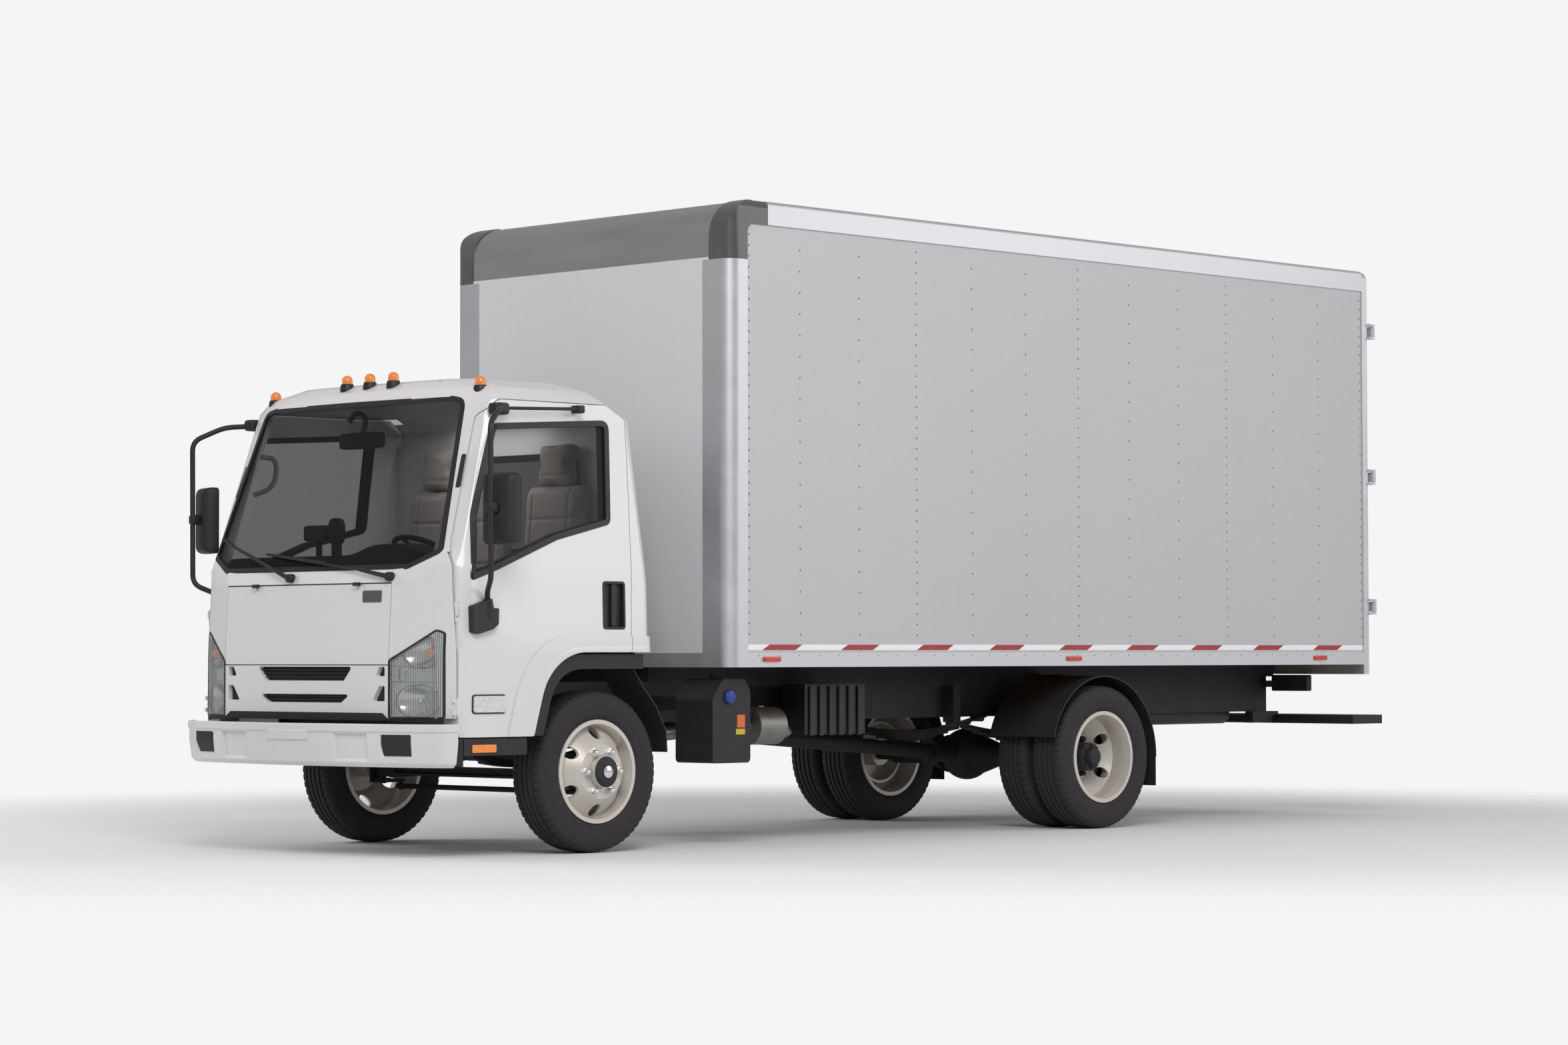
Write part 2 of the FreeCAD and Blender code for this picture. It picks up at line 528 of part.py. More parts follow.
NOSE_SIDE = 930.0
nose_panel = nose(NOSE_R, NOSE_R - WALL_T, BOX_TOP - NOSE_R - 100, -NOSE_SIDE, NOSE_SIDE)
corner_plan = [(NOSE_SIDE - 46, BOX_FRONT - 6), (BOX_HALF, BOX_FRONT - 6, CORNER_R), (BOX_HALF, BOX_FRONT + POST_W),
               (BOX_HALF - WALL_INSET - WALL_T, BOX_FRONT + POST_W),
               (BOX_HALF - WALL_INSET - WALL_T, BOX_FRONT + WALL_T, CORNER_R - 34),
               (NOSE_SIDE - 46, BOX_FRONT + WALL_T)]
posts = prism(corner_plan, "xy", BOX_LOW, BOX_TOP - 315)
posts = posts.cut(block(0, SKIN - CORNER_R, BOX_FRONT, BOX_FRONT + WALL_T + 1, BOX_LOW, BOX_TOP))
posts = posts.cut(block(0, SKIN, BOX_FRONT + CORNER_R, BOX_BACK, BOX_LOW, BOX_TOP))
low_rail = block(SKIN - WALL_T, BOX_HALF, BOX_FRONT + POST_W, BOX_BACK - REAR_FRAME_D, BOX_LOW, BOX_DECK)
top_rail = prism([(BOX_HALF - 30, BOX_TOP - TOP_RAIL_H), (BOX_HALF, BOX_TOP - TOP_RAIL_H),
                  (BOX_HALF, BOX_TOP, 28), (BOX_HALF - 30, BOX_TOP)], "xz", CAP_BACK, BOX_BACK - REAR_FRAME_D)
front_rail = block(-NOSE_SIDE + 46, NOSE_SIDE - 46, BOX_FRONT - 6, BOX_FRONT + WALL_T, BOX_LOW, BOX_DECK)
export("box_nose_panel", nose_panel)
export("box_rails", pair(posts) + pair(low_rail) + pair(top_rail) + [front_rail])
# corner cap: the nose round, the corner post's round and the roof edge's round meet in one shell
cap_front, cap_low, cap_top = BOX_FRONT - 6, BOX_TOP - 315, BOX_TOP + 6
cap_side = prism([(cap_front, cap_low), (cap_front, cap_top, NOSE_R + 6), (CAP_BACK, cap_top),
                  (CAP_BACK, cap_low)], "yz", NOSE_SIDE, BOX_HALF)
turns = [math.radians(90.0 * i / CAP_FACETS) for i in range(CAP_FACETS + 1)]
front_round = [(BOX_HALF - CORNER_R + CORNER_R * math.sin(a), cap_front + CORNER_R - CORNER_R * math.cos(a))
               for a in turns]
top_round = [(BOX_HALF - CAP_EDGE_R + CAP_EDGE_R * math.cos(a), cap_top - CAP_EDGE_R + CAP_EDGE_R * math.sin(a))
             for a in turns]
cap_plan = prism([(NOSE_SIDE, cap_front)] + front_round + [(BOX_HALF, CAP_BACK), (NOSE_SIDE, CAP_BACK)],
                 "xy", cap_low, cap_top)
cap_face = prism([(NOSE_SIDE, cap_low), (BOX_HALF, cap_low)] + top_round + [(NOSE_SIDE, cap_top)],
                 "xz", cap_front, CAP_BACK)
cap_solid = cap_side.common(cap_plan).common(cap_face)
cap_void = [(BOX_FRONT + WALL_T, cap_low - 1), (BOX_FRONT + WALL_T, BOX_TOP - WALL_T, NOSE_R - WALL_T),
            (CAP_BACK + 1, BOX_TOP - WALL_T), (CAP_BACK + 1, cap_low - 1)]
cap_solid = cap_solid.cut(prism(cap_void, "yz", 0, SKIN - WALL_T))
cap_solid = cap_solid.cut(block(0, BOX_HALF - 30, BOX_FRONT + NOSE_R, 1200, cap_low, cap_top + 1))
cap_solid = cap_solid.cut(block(0, 1200, BOX_FRONT + NOSE_R, 1200, BOX_TOP, cap_top + 1))
cap_solid = cap_solid.common(prism([(700, cap_low), (BOX_FRONT + POST_W, cap_low),
                                    (BOX_FRONT + POST_W, BOX_TOP - TOP_RAIL_H, 45), (CAP_BACK, BOX_TOP - TOP_RAIL_H),
                                    (CAP_BACK, cap_top), (700, cap_top)], "yz", 0, 1200)).removeSplitter()
export("box_corner_caps", pair(cap_solid))
export("box_side_walls", pair(side_wall.cut(cap_solid)))
export("box_front_wall", front_wall.cut(cap_solid).cut(mirrored(cap_solid)))
export("box_floor", joined(floor_parts).cut(posts).cut(mirrored(posts)))

fy0, fy1 = BOX_BACK - REAR_FRAME_D, BOX_BACK
open_half = BOX_HALF - REAR_POST_W
open_top = BOX_TOP - HEADER_H
open_low = BOX_DECK + BOX_FLOOR_T
rear_frame = prism([(-BOX_HALF, BOX_LOW - 60), (BOX_HALF, BOX_LOW - 60), (BOX_HALF, BOX_TOP, 60),
                    (-BOX_HALF, BOX_TOP, 60)], "xz", fy0, fy1)
rear_frame = rear_frame.cut(block(-open_half, open_half, fy0 - 1, fy1 + 1, open_low, open_top))
for z in CARGO_HINGES:
    for low in (z - GAP - 12, z + STRAP_H + GAP):
        ear = block(BOX_HALF - 20, CARGO_PIN_X + 12, BOX_BACK, CARGO_PIN_Y + 12, low, low + 12)
        rear_frame = rear_frame.fuse(ear).fuse(mirrored(ear))
    pin = rod((CARGO_PIN_X, CARGO_PIN_Y, z - GAP - 12), "z", CARGO_PIN_R, STRAP_H + 2 * GAP + 24)
    rear_frame = rear_frame.fuse(pin).fuse(mirrored(pin))
export("box_rear_frame", rear_frame.removeSplitter())

# swing doors at the back: panel, three strap hinges, two lock bars
door_face = fy0 + 17 + CARGO_DOOR_T
for sign, name in ((1, "left"), (-1, "right")):
    panel = block(GAP / 2, open_half - GAP, fy0 + 17, fy0 + 17 + CARGO_DOOR_T, open_low + GAP, open_top - GAP)
    bits = [panel]
    for z in CARGO_HINGES:
        strap = block(open_half - 160, open_half - 100, door_face, CARGO_PIN_Y + 4, z, z + STRAP_H)
        strap = strap.fuse(block(open_half - 160, CARGO_PIN_X, CARGO_PIN_Y - 6, CARGO_PIN_Y + 4, z, z + STRAP_H))
        strap = strap.fuse(rod((CARGO_PIN_X, CARGO_PIN_Y, z), "z", CARGO_PIN_R + 7, STRAP_H))
        bits.append(strap.cut(rod((CARGO_PIN_X, CARGO_PIN_Y, z - 1), "z", CARGO_PIN_R + RUN_FIT, STRAP_H + 2)))
    for x in (260, 620):
        bits.append(rod((x, door_face + 12, open_low + 20), "z", 12, open_top - open_low - 40))
    bits.append(block(260, 560, door_face, door_face + 14, 1390, 1425))
    door = joined(bits)
    export("cargo_door_%s" % name, door if sign > 0 else mirrored(door))

# lamps on the body and chassis
lamps = pair(block(BOX_HALF, BOX_HALF + 14, 1025, 1158, 952, 982))
lamps += pair(block(BOX_HALF, BOX_HALF + 14, 3450, 3583, 952, 982))
lamps += pair(block(BOX_HALF, BOX_HALF + 14, 5760, 5893, 952, 982))
for x in (-300, -150, 0, 150, 300):
    lamps.append(block(x - 40, x + 40, BOX_BACK, BOX_BACK + 16, BOX_TOP - 60, BOX_TOP - 30))
lamps += pair(joined([block(430, 700, 6226, 6260, 760, 860), block(RAIL_OUT, 470, 6100, 6226, 780, 830)]))
export("body_lamps", lamps)


# ---------------------------------------------------------------- cab
def cab_loft(inset, drop=0.0):
    """Solid of the cab's outer form, drawn in by inset."""
    wires = []
    for z, w, nose_y, sx, sy, cx, cy, side_y, back in CAB_LEVELS:
        k = inset
        half = [(0, nose_y + k), (sx - k * 0.1, sy + k), (cx - k * 0.55, cy + k * 0.85),
                (w - k, side_y + k * 0.45)]
        (x0, y0), (x1, y1) = half[-2:]
        share = CAB_CORNER / math.hypot(x1 - x0, y1 - y0)
        half[-1:] = [(x1 + (x0 - x1) * share, y1 + (y0 - y1) * share), (x1, y1 + CAB_CORNER)]
        half += [(w - k - a * REAR_ROUND, back - k - b * REAR_ROUND)
                 for a, b in ((0, 1), (0.134, 0.5), (0.5, 0.134), (1, 0))]
        pts = half + [(-x, y) for x, y in reversed(half[1:])]
        if z == CAB_LEVELS[0][0]:
            z -= k if k > 0 else 0
        if z == CAB_LEVELS[-1][0]:
            z -= drop
        wires.append(Part.makePolygon([V(x, y, z) for x, y in pts] + [V(pts[0][0], pts[0][1], z)]))
    return Part.makeLoft(wires, True, True)


skin = cab_loft(0)
# raised lip round each wheel arch, running back to the corner of the cab
lip = cab_loft(-FLARE_T).common(prism(FLARE_LINE, "yz", 800, 1100))
skin = skin.fuse(lip).fuse(mirrored(lip)).removeSplitter()
inner = cab_loft(CAB_SHEET, 30)
floor_top = CAB_FLOOR_Z + FLOOR_T
deck_top = CAB_DECK_Z + FLOOR_T
shell = skin
# cabin above the floor and above the seat deck
thick_front = block(-1100, 1100, -1200, -900, 500, 2500).cut(cab_loft(CAB_FRONT_T))
shell = shell.cut(inner.common(block(-1100, 1100, -1200, 400, floor_top, 1360)).cut(
    block(-1100, 1100, CAB_DECK_Y, 400, floor_top, deck_top)).cut(thick_front))
shell = shell.cut(inner.common(block(-1100, 1100, -1200, 400, 1360, 2500)))
# underside: engine bay, arches and step wells
shell = shell.cut(block(-795, 795, GRILLE_Y, CAB_DECK_Y - 30, 500, CAB_FLOOR_Z))
shell = shell.cut(block(-795, 795, CAB_DECK_Y - 30, 260, 500, CAB_DECK_Z))
shell = shell.cut(block(-1100, 1100, -480, 400, 500, 1003))
for s in (-1, 1):
    lo, hi = sorted((s * 815, s * 1100))
    shell = shell.cut(block(lo, hi, -967 - GAP, -470, 500, CAB_FLOOR_Z))
shell = shell.cut(block(-1100, 1100, -1200, -900, 500, 684))
shell = shell.cut(block(-1100, 1100, -980, 400, 500, 600))
# doors
door_cut = grown(DOOR_LINE, "yz", 700, 1100, GAP)
door_cut = door_cut.cut(block(600, CAB_HALF - DOOR_T - 15, -850, 400, 500, 940))
door_cut = door_cut.cut(block(600, 850, -1100, -850, 500, 940))
door_cut = door_cut.fuse(prism([(-974, 590), (-974, 1000), (-976, 1490), (-960, 1490), (-960, 590)],
                               "yz", 850, 1100))
door_cut = door_cut.cut(block(600, CAB_HALF - DOOR_T - 15, -520, 400, 500, deck_top + 5))
shell = shell.cut(door_cut).cut(mirrored(door_cut))
# hinge knuckles and pins for the doors, in pockets of the door pillar
for z in DOOR_HINGES:
    pocket = rod((DOOR_HINGE_X, DOOR_HINGE_Y, z - 5), "z", HINGE_POCKET_R, HINGE_H + 10)
    shell = shell.cut(pocket).cut(mirrored(pocket))
    for low in (z, z + HINGE_H - 20):
        knuckle = rod((DOOR_HINGE_X, DOOR_HINGE_Y, low), "z", HINGE_R, 20).fuse(
            block(DOOR_HINGE_X - 8, DOOR_HINGE_X, DOOR_HINGE_Y - 25, DOOR_HINGE_Y, low, low + 20))
        shell = shell.fuse(knuckle).fuse(mirrored(knuckle))
    pin = rod((DOOR_HINGE_X, DOOR_HINGE_Y, z), "z", HINGE_PIN_R, HINGE_H)
    shell = shell.fuse(pin).fuse(mirrored(pin))
# glass openings
screen_cut = prism(SCREEN_LINE, "xz", -1300, -600)
shell = shell.cut(screen_cut)
shell = shell.cut(prism(REAR_WINDOW, "xz", 150, 400))
# headlamp pockets, lid recess and grille openings
lamp_cut = prism(HEADLAMP_LINE, "xz", -1200, -982).cut(cab_loft(LAMP_DEEP))
shell = shell.cut(lamp_cut).cut(mirrored(lamp_cut))
lid_cut = block(-LID_HALF - GAP, LID_HALF + GAP, -1200, -1070, LID_LOW - GAP, LID_TOP + GAP)
shell = shell.cut(lid_cut)
GRILLE_HOLES = [[(-310, 865, 10), (310, 865, 10), (375, 934, 10), (-375, 934, 10)],
                [(-289, 757, 8), (289, 757, 8), (358, 798, 8), (-358, 798, 8)]]
SIDE_SLOTS = [[(550, 888, 6), (618, 888, 6), (618, 934, 6), (576, 934, 6)],
              [(524, 766, 6), (618, 766, 6), (618, 840, 6), (578, 840, 6)]]
for hole in GRILLE_HOLES:
    shell = shell.cut(prism(hole, "xz", -1200, -1080))
for hole in SIDE_SLOTS:
    cut = prism(hole, "xz", -1200, -1080)
    shell = shell.cut(cut).cut(mirrored(cut))
# tilt hinge ears under the floor
ear_line = [(CAB_PIVOT_Y - 30, CAB_PIVOT_Z - 30, 25), (CAB_PIVOT_Y + 30, CAB_PIVOT_Z - 30, 25),
            (CAB_PIVOT_Y + 30, CAB_PIVOT_Z + 60), (CAB_PIVOT_Y + 30, CAB_FLOOR_Z), (CAB_PIVOT_Y - 30, CAB_FLOOR_Z)]
ears = []
for x in (PIVOT_X - 37, PIVOT_X + 25):
    ear = prism(ear_line, "yz", x, x + 12).cut(
        rod((x - 1, CAB_PIVOT_Y, CAB_PIVOT_Z), "x", 15 + RUN_FIT, 14))
    ears += [ear, mirrored(ear)]
for x in LID_HINGES:
    barrel = rod((x + 21, LID_PIN_Y, LID_PIN_Z), "x", 7, 20)
    foot = block(x + 21, x + 41, LID_PIN_Y - 3, LID_PIN_Y + 20, LID_TOP + GAP + 1, LID_TOP + GAP + 7)
    ears.append(barrel.fuse(foot).cut(rod((x, LID_PIN_Y, LID_PIN_Z), "x", 3 + RUN_FIT, 60)))
shell = joined([shell] + ears)
export("cab_shell", max(shell.Solids, key=lambda s: s.Volume))

glass_band = cab_loft(GLASS_IN).cut(cab_loft(GLASS_IN + GLASS_T))
screen = glass_band.common(grown(SCREEN_LINE, "xz", -1300, -600, -SEAT))
rear_glass = glass_band.common(grown(REAR_WINDOW, "xz", 150, 400, -SEAT))
export("cab_glass", [screen, rear_glass])

# grille: dark panel behind the openings with slats that stand into them
grille = [block(-640, 640, GRILLE_Y + SEAT, GRILLE_Y + 5, 690, CAB_FLOOR_Z - 3)]
for hole, slat_z in zip(GRILLE_HOLES, ((881, 899, 917), (771, 785))):
    mouth = grown(hole, "xz", -1200, GRILLE_Y + 10 - SEAT, -SEAT)
    for z in slat_z:
        grille.append(block(-400, 400, GRILLE_Y - 18, GRILLE_Y + 4, z, z + 5).common(mouth))
    grille.append(block(-400, 400, GRILLE_Y - 3, GRILLE_Y + 4, 700, 940).common(mouth))
for slot in SIDE_SLOTS:
    plug = block(500, 640, GRILLE_Y - 3, GRILLE_Y + 4, 700, 940).common(
        grown(slot, "xz", -1200, GRILLE_Y + 10 - SEAT, -SEAT))
    grille += pair(plug)
export("grille", joined(grille))

# headlamps: housing with two bowls, clear lens in front
lamp_zone = grown(HEADLAMP_LINE, "xz", -1200, -983, -SEAT)
lamp_body = cab_loft(30).cut(cab_loft(LAMP_DEEP - SEAT)).common(lamp_zone)
lamp_lens = cab_loft(2).cut(cab_loft(8)).common(lamp_zone)
lamp_rim = cab_loft(8 + SEAT).cut(cab_loft(30)).common(lamp_zone).cut(grown(HEADLAMP_LINE, "xz", -1200, -900, -8))
for bowl_x, bowl_z, bowl_r in ((760, 770, 62), (755, 905, 55)):
    lamp_body = lamp_body.cut(rod((bowl_x, -1200, bowl_z), "y", bowl_r, 1200 - 1050))
housing = joined([lamp_body, lamp_rim])
export("headlamp_housings", pair(max(housing.Solids, key=lambda s: s.Volume)))
export("headlamp_lenses", pair(max(lamp_lens.Solids, key=lambda s: s.Volume)))

# front lid
lid = skin.cut(cab_loft(LID_T)).common(block(-LID_HALF, LID_HALF, -1200, -1060, LID_LOW, LID_TOP))
for x in LID_HINGES:
    leaf = block(x, x + 20, LID_PIN_Y, LID_PIN_Y + 30, LID_TOP - 20, LID_TOP - 4)
    barrel = rod((x, LID_PIN_Y, LID_PIN_Z), "x", 7, 20)
    pin = rod((x + 5, LID_PIN_Y, LID_PIN_Z), "x", 3, 36)
    lid = lid.fuse(leaf.cut(skin)).fuse(barrel).fuse(pin)
export("front_lid", lid.removeSplitter())

# roof lamps
roof_lamps = []
for x, y, z in ((810, -671, 2290), (183, -704, 2346), (0, -705, 2347), (-183, -704, 2346), (-810, -671, 2290)):
    roof_lamps.append(prism([(y - 60, z - 20), (y + 60, z - 20), (y + 60, z + 20, 15), (y - 60, z + 35, 25)],
                            "yz", x - 35, x + 35).cut(skin))
export("roof_lamps", [max(s.Solids, key=lambda q: q.Volume) for s in roof_lamps])

# dashboard with the steering column
dash_line = [(-1028, 940), (-985, 940), (-900, 1150, 40), (-760, 1240, 40), (-745, 1370, 30), (-800, 1410, 30),
             (-1000, 1405, 20), (-1028, 1380)]
dash = prism(dash_line, "yz", -925, 925).cut(thick_front)
WHEEL_AXIS = V(0, 0.5, math.sqrt(0.75))
WHEEL_POS = V(400, -650, 1480)
column = rod(tuple(WHEEL_POS - WHEEL_AXIS * 260), WHEEL_AXIS, 38, 215)
column = column.cut(rod(tuple(WHEEL_POS - WHEEL_AXIS * 110), WHEEL_AXIS, 10 + RUN_FIT, 90))
dash = dash.common(cab_loft(CAB_SHEET + 3))
for s in (-1, 1):
    # scooped ends leave room for the door's front edge as it swings
    dash = dash.cut(rod((s * DOOR_HINGE_X, DOOR_HINGE_Y, 900), "z", DOOR_SWEEP, 600))
dash_all = joined([dash, column])
export("dashboard", max(dash_all.Solids, key=lambda s: s.Volume))
across = V(1, 0, 0)
section = Part.makePolygon([WHEEL_POS + across * (190 + 14 * math.cos(math.radians(22.5 + 45 * k)))
                            + WHEEL_AXIS * (14 * math.sin(math.radians(22.5 + 45 * k))) for k in range(9)])
rim_ring = Part.Face(section).revolve(WHEEL_POS, WHEEL_AXIS, 360)
hub_disc = rod(tuple(WHEEL_POS - WHEEL_AXIS * 38), WHEEL_AXIS, 62, 40).fuse(
    rod(tuple(WHEEL_POS - WHEEL_AXIS * 100), WHEEL_AXIS, 10, 70))
spokes = []
for a in (0, 120, 240):
    d = V(math.cos(math.radians(a - 90)), 0, 0) + WHEEL_AXIS.cross(V(1, 0, 0)) * math.sin(math.radians(a - 90))
    spokes.append(rod(tuple(WHEEL_POS - WHEEL_AXIS * 12), d, 9, 188))
export("steering_wheel", joined([rim_ring, hub_disc] + spokes))

# seats: base, cushion, back and headrest
def seat(x, w, head):
    base = block(x - w / 2 + 30, x + w / 2 - 30, -400, 60, deck_top, deck_top + 90)
    cushion = prism([(-440, deck_top + 90, 20), (60, deck_top + 90, 20), (60, deck_top + 200, 30),
                     (-440, deck_top + 215, 50)], "yz", x - w / 2, x + w / 2)
    back = prism([(62, deck_top + 120, 20), (150, deck_top + 110, 20), (192, deck_top + 700, 40),
                  (108, deck_top + 700, 40)], "yz", x - w / 2, x + w / 2)
    bits = [base, cushion, back]
    if head:
        bits.append(prism([(112, deck_top + 730, 20), (182, deck_top + 730, 20), (175, deck_top + 900, 30),
                           (108, deck_top + 900, 30)], "yz", x - 130, x + 130))
        bits.append(block(x - 60, x + 60, 130, 165, deck_top + 690, deck_top + 740))
    bits.append(block(x - w / 2 + 40, x + w / 2 - 40, 40, 120, deck_top + 60, deck_top + 170))
    return joined(bits)


export("seats", [seat(420, 500, True), seat(-440, 480, True), seat(-10, 330, False)])

# steps and arch trims on the cab
step_box = joined([block(800, 1010, -950, -545, 503, 530), block(985, 1012, -950, -545, 503, 585),
                   block(795, 820, -950, -545, 503, 680)])
step_box = step_box.cut(block(815, 1100, -1000, -500, 590, 700)).cut(block(795, 815, -1000, -500, 600, 700))
arch = prism([(-472, 600), (-455, 600), (-400, 780), (-300, 905), (-170, 960), (250, 960), (250, 1003), (-170, 1003),
              (-340, 940), (-430, 800)], "yz", 830, CAB_HALF - DOOR_T - 20)
export("cab_trim", pair(step_box) + pair(arch))

# ---------------------------------------------------------------- cab doors
door_band = skin.cut(cab_loft(DOOR_T))
side_lamp_band = cab_loft(-12).cut(cab_loft(-SEAT))
for sign, name in ((1, "left"), (-1, "right")):
    panel = door_band.common(prism(DOOR_LINE, "yz", 800, 1100))
    panel = panel.cut(prism(DOOR_WINDOW, "yz", 800, 1100))
    recess = prism([(-37, 1122, 15), (106, 1122, 15), (106, 1353, 15), (-37, 1353, 15)], "yz", 995, 1100)
    panel = panel.cut(recess)
    for z in DOOR_HINGES:
        panel = panel.cut(rod((DOOR_HINGE_X, DOOR_HINGE_Y, z - 5), "z", HINGE_POCKET_R, HINGE_H + 10))
        leaf = rod((DOOR_HINGE_X, DOOR_HINGE_Y, z + 21), "z", HINGE_R, HINGE_H - 42).fuse(
            block(DOOR_HINGE_X - 8, DOOR_HINGE_X, DOOR_HINGE_Y, DOOR_HINGE_Y + 25, z + 21, z + HINGE_H - 21))
        panel = panel.fuse(leaf.cut(rod((DOOR_HINGE_X, DOOR_HINGE_Y, z), "z", HINGE_PIN_R + RUN_FIT, HINGE_H)))
    panel = max(panel.Solids, key=lambda s: s.Volume)
    pane = glass_band.common(grown(DOOR_WINDOW, "yz", 800, 1100, -SEAT))
    pane = max(pane.Solids, key=lambda s: s.Volume)
    handle = prism([(-25, 1205, 8), (92, 1205, 8), (92, 1240, 8), (-25, 1240, 8)], "yz", 995 + SEAT, 1012)
    bracket = prism([(-911, 1168, 10), (-880, 1235, 12), (-758, 1230, 12), (-746, 1100, 12), (-862, 1092, 12)],
                    "yz", 1005, 1050)
    bar = tube([(1035, -830, 1228), (1060, -860, 1300, 40), (1180, -930, 1365, 60), (1180, -930, 2110, 60),
                (1090, -790, 2185, 60), (945, -640, 2195)], 14)
    visor_bar = tube([(1000, -697, 2191), (1000, -164, 2211)], 9)
    visor_end = block(935, 1006, -186, -152, 2198, 2226)
    head = prism([(-95, 1523, 25), (95, 1523, 25), (95, 1870, 25), (-95, 1870, 25)], "xz", -12, 40)
    head = head.fuse(Part.makeLoft(
        [outline([(-w, z0, 24), (w, z0, 24), (w, z1, 24), (-w, z1, 24)], "xz", y).OuterWire
         for y, w, z0, z1 in ((-12, 95, 1523, 1870), (-34, 86, 1534, 1859), (-44, 68, 1554, 1839))], True, True))
    head.rotate(V(0, 0, 0), V(0, 0, 1), 20)
    head.translate(V(1165, -850, 0))
    clamp_a = block(1150, 1190, -945, -880, 1680, 1720)
    mirror_set = joined([bar, visor_bar, visor_end, head, clamp_a, bracket.cut(cab_loft(0))])
    mirror_set = mirror_set.cut(panel).cut(pane)
    mirror_set = max(mirror_set.Solids, key=lambda s: s.Volume)
    lamp = side_lamp_band.common(prism([(-899, 712, 12), (-697, 712, 12), (-697, 792, 12), (-899, 792, 12)],
                                       "yz", 900, 1100))
    export("door_%s" % name, panel if sign > 0 else mirrored(panel))
    export("door_%s_glass" % name, pane if sign > 0 else mirrored(pane))
    bits = [mirror_set, handle]
    export("door_%s_mirror" % name, bits if sign > 0 else [mirrored(s) for s in bits])
    export("door_%s_lamp" % name, lamp if sign > 0 else mirrored(lamp))

# ---------------------------------------------------------------- steering knuckles
wheel_x = FRONT_TRACK / 2
for sign, name in ((1, "left"), (-1, "right")):
    pin = rod((KINGPIN_X, 0, TYRE_R - 95), "z", KINGPIN_R, 190)
    top = block(KINGPIN_X - 30, KINGPIN_X + 60, -30, 30, TYRE_R + 65, TYRE_R + 90)
    low = block(KINGPIN_X - 30, KINGPIN_X + 60, -30, 30, TYRE_R - 90, TYRE_R - 65)
    upright = block(KINGPIN_X + 38, KINGPIN_X + 60, -45, 45, TYRE_R - 90, TYRE_R + 90)
    spindle = rod((KINGPIN_X + 50, 0, TYRE_R), "x", SPINDLE_R, 150)
    arm = block(KINGPIN_X - 20, KINGPIN_X + 20, 0, STEER_ARM, TYRE_R - 90, TYRE_R - 72)
    ball = rod((KINGPIN_X, STEER_ARM, TIE_ROD_Z - 20), "z", 10, TYRE_R - 90 - TIE_ROD_Z + 20)
    eye = rod((KINGPIN_X, STEER_ARM, TYRE_R - 90), "z", 22, 18)
    knuckle = joined([pin, top, low, upright, spindle, arm, eye, ball])
    export("knuckle_%s" % name, knuckle if sign > 0 else mirrored(knuckle))
track_rod = rod((-KINGPIN_X + 22, STEER_ARM, TIE_ROD_Z), "x", TIE_ROD_R, 2 * KINGPIN_X - 44)
left_eye = rod((KINGPIN_X, STEER_ARM, TIE_ROD_Z - 12), "z", 24, 24).cut(
    rod((KINGPIN_X, STEER_ARM, TIE_ROD_Z - 30), "z", 10 + RUN_FIT, 60))
right_eye = rod((-KINGPIN_X, STEER_ARM, TIE_ROD_Z - 12), "z", 28, 24)
track = joined([track_rod, left_eye, right_eye])
track = track.cut(rod((-KINGPIN_X, STEER_ARM, TIE_ROD_Z - 30), "z", 10 + GAP, 60))
track = track.cut(rod((KINGPIN_X, STEER_ARM, TIE_ROD_Z - 30), "z", 10 + RUN_FIT, 60))
export("tie_rod", track)


# ---------------------------------------------------------------- wheels
def tyre(x):
    w, r = TYRE_W / 2, TYRE_R
    bead = RIM_SEAT_R + SEAT
    half = [(RIM_W / 2 - SEAT, bead), (RIM_W / 2 - SEAT, RIM_FLANGE_R + 3), (w, 335), (w - 12, 390), (w - 34, r)]
    return turned([(-a, q) for a, q in half] + [(a, q) for a, q in reversed(half)], x, 0, TYRE_R)


def rim(x, out):
    """Steel rim with a dished disc; out = +1 puts the mounting face outboard."""
    s, f, b = RIM_SEAT_R, RIM_FLANGE_R, RIM_W / 2
    barrel = [(-b - 9, f), (-b, f), (-b, s), (-38, s - 12), (38, s - 12), (b, s), (b, f),
              (b + 9, f), (b + 9, s - 8), (44, s - 20), (-44, s - 20), (-b - 9, s - 8)]
    ring_solid = turned(barrel, x, 0, TYRE_R)
    o = DISC_OFFSET
    disc = [(36, s - 16), (o - 22, 165), (o, 137), (o, HUB_R + 2), (o - DISC_T, HUB_R + 2),
            (o - DISC_T, 140), (o - 32, 157), (24, s - 20)]
    disc = turned([(out * a, r) for a, r in disc], x, 0, TYRE_R)
    holes = []
    for i in range(STUD_COUNT):
        a = math.radians(30 + 60 * i)
        holes.append(rod((x - 200, HAND_HOLE_PCR * math.cos(a), TYRE_R + HAND_HOLE_PCR * math.sin(a)), "x",
                         HAND_HOLE_R, 400))
    disc = disc.cut(Part.makeCompound(holes).common(block(x - 120, x + 140, -400, 400, 0, 900)))
    return ring_solid.fuse(disc).removeSplitter()


def studs(x, length):
    out = []
    for i in range(STUD_COUNT):
        a = math.radians(60 * i)
        y, z = STUD_PCD / 2 * math.cos(a), TYRE_R + STUD_PCD / 2 * math.sin(a)
        hexagon = Part.makePolygon([V(x, y + NUT_R * math.cos(math.radians(60 * k)),
                                      z + NUT_R * math.sin(math.radians(60 * k))) for k in range(7)])
        out.append(Part.Face(hexagon).extrude(V(length, 0, 0)))
        out.append(rod((x, y, z), "x", STUD_R, length + STUD_TIP))
    return out


def at_axle(shape, y):
    return shape.translated(V(0, y, 0))


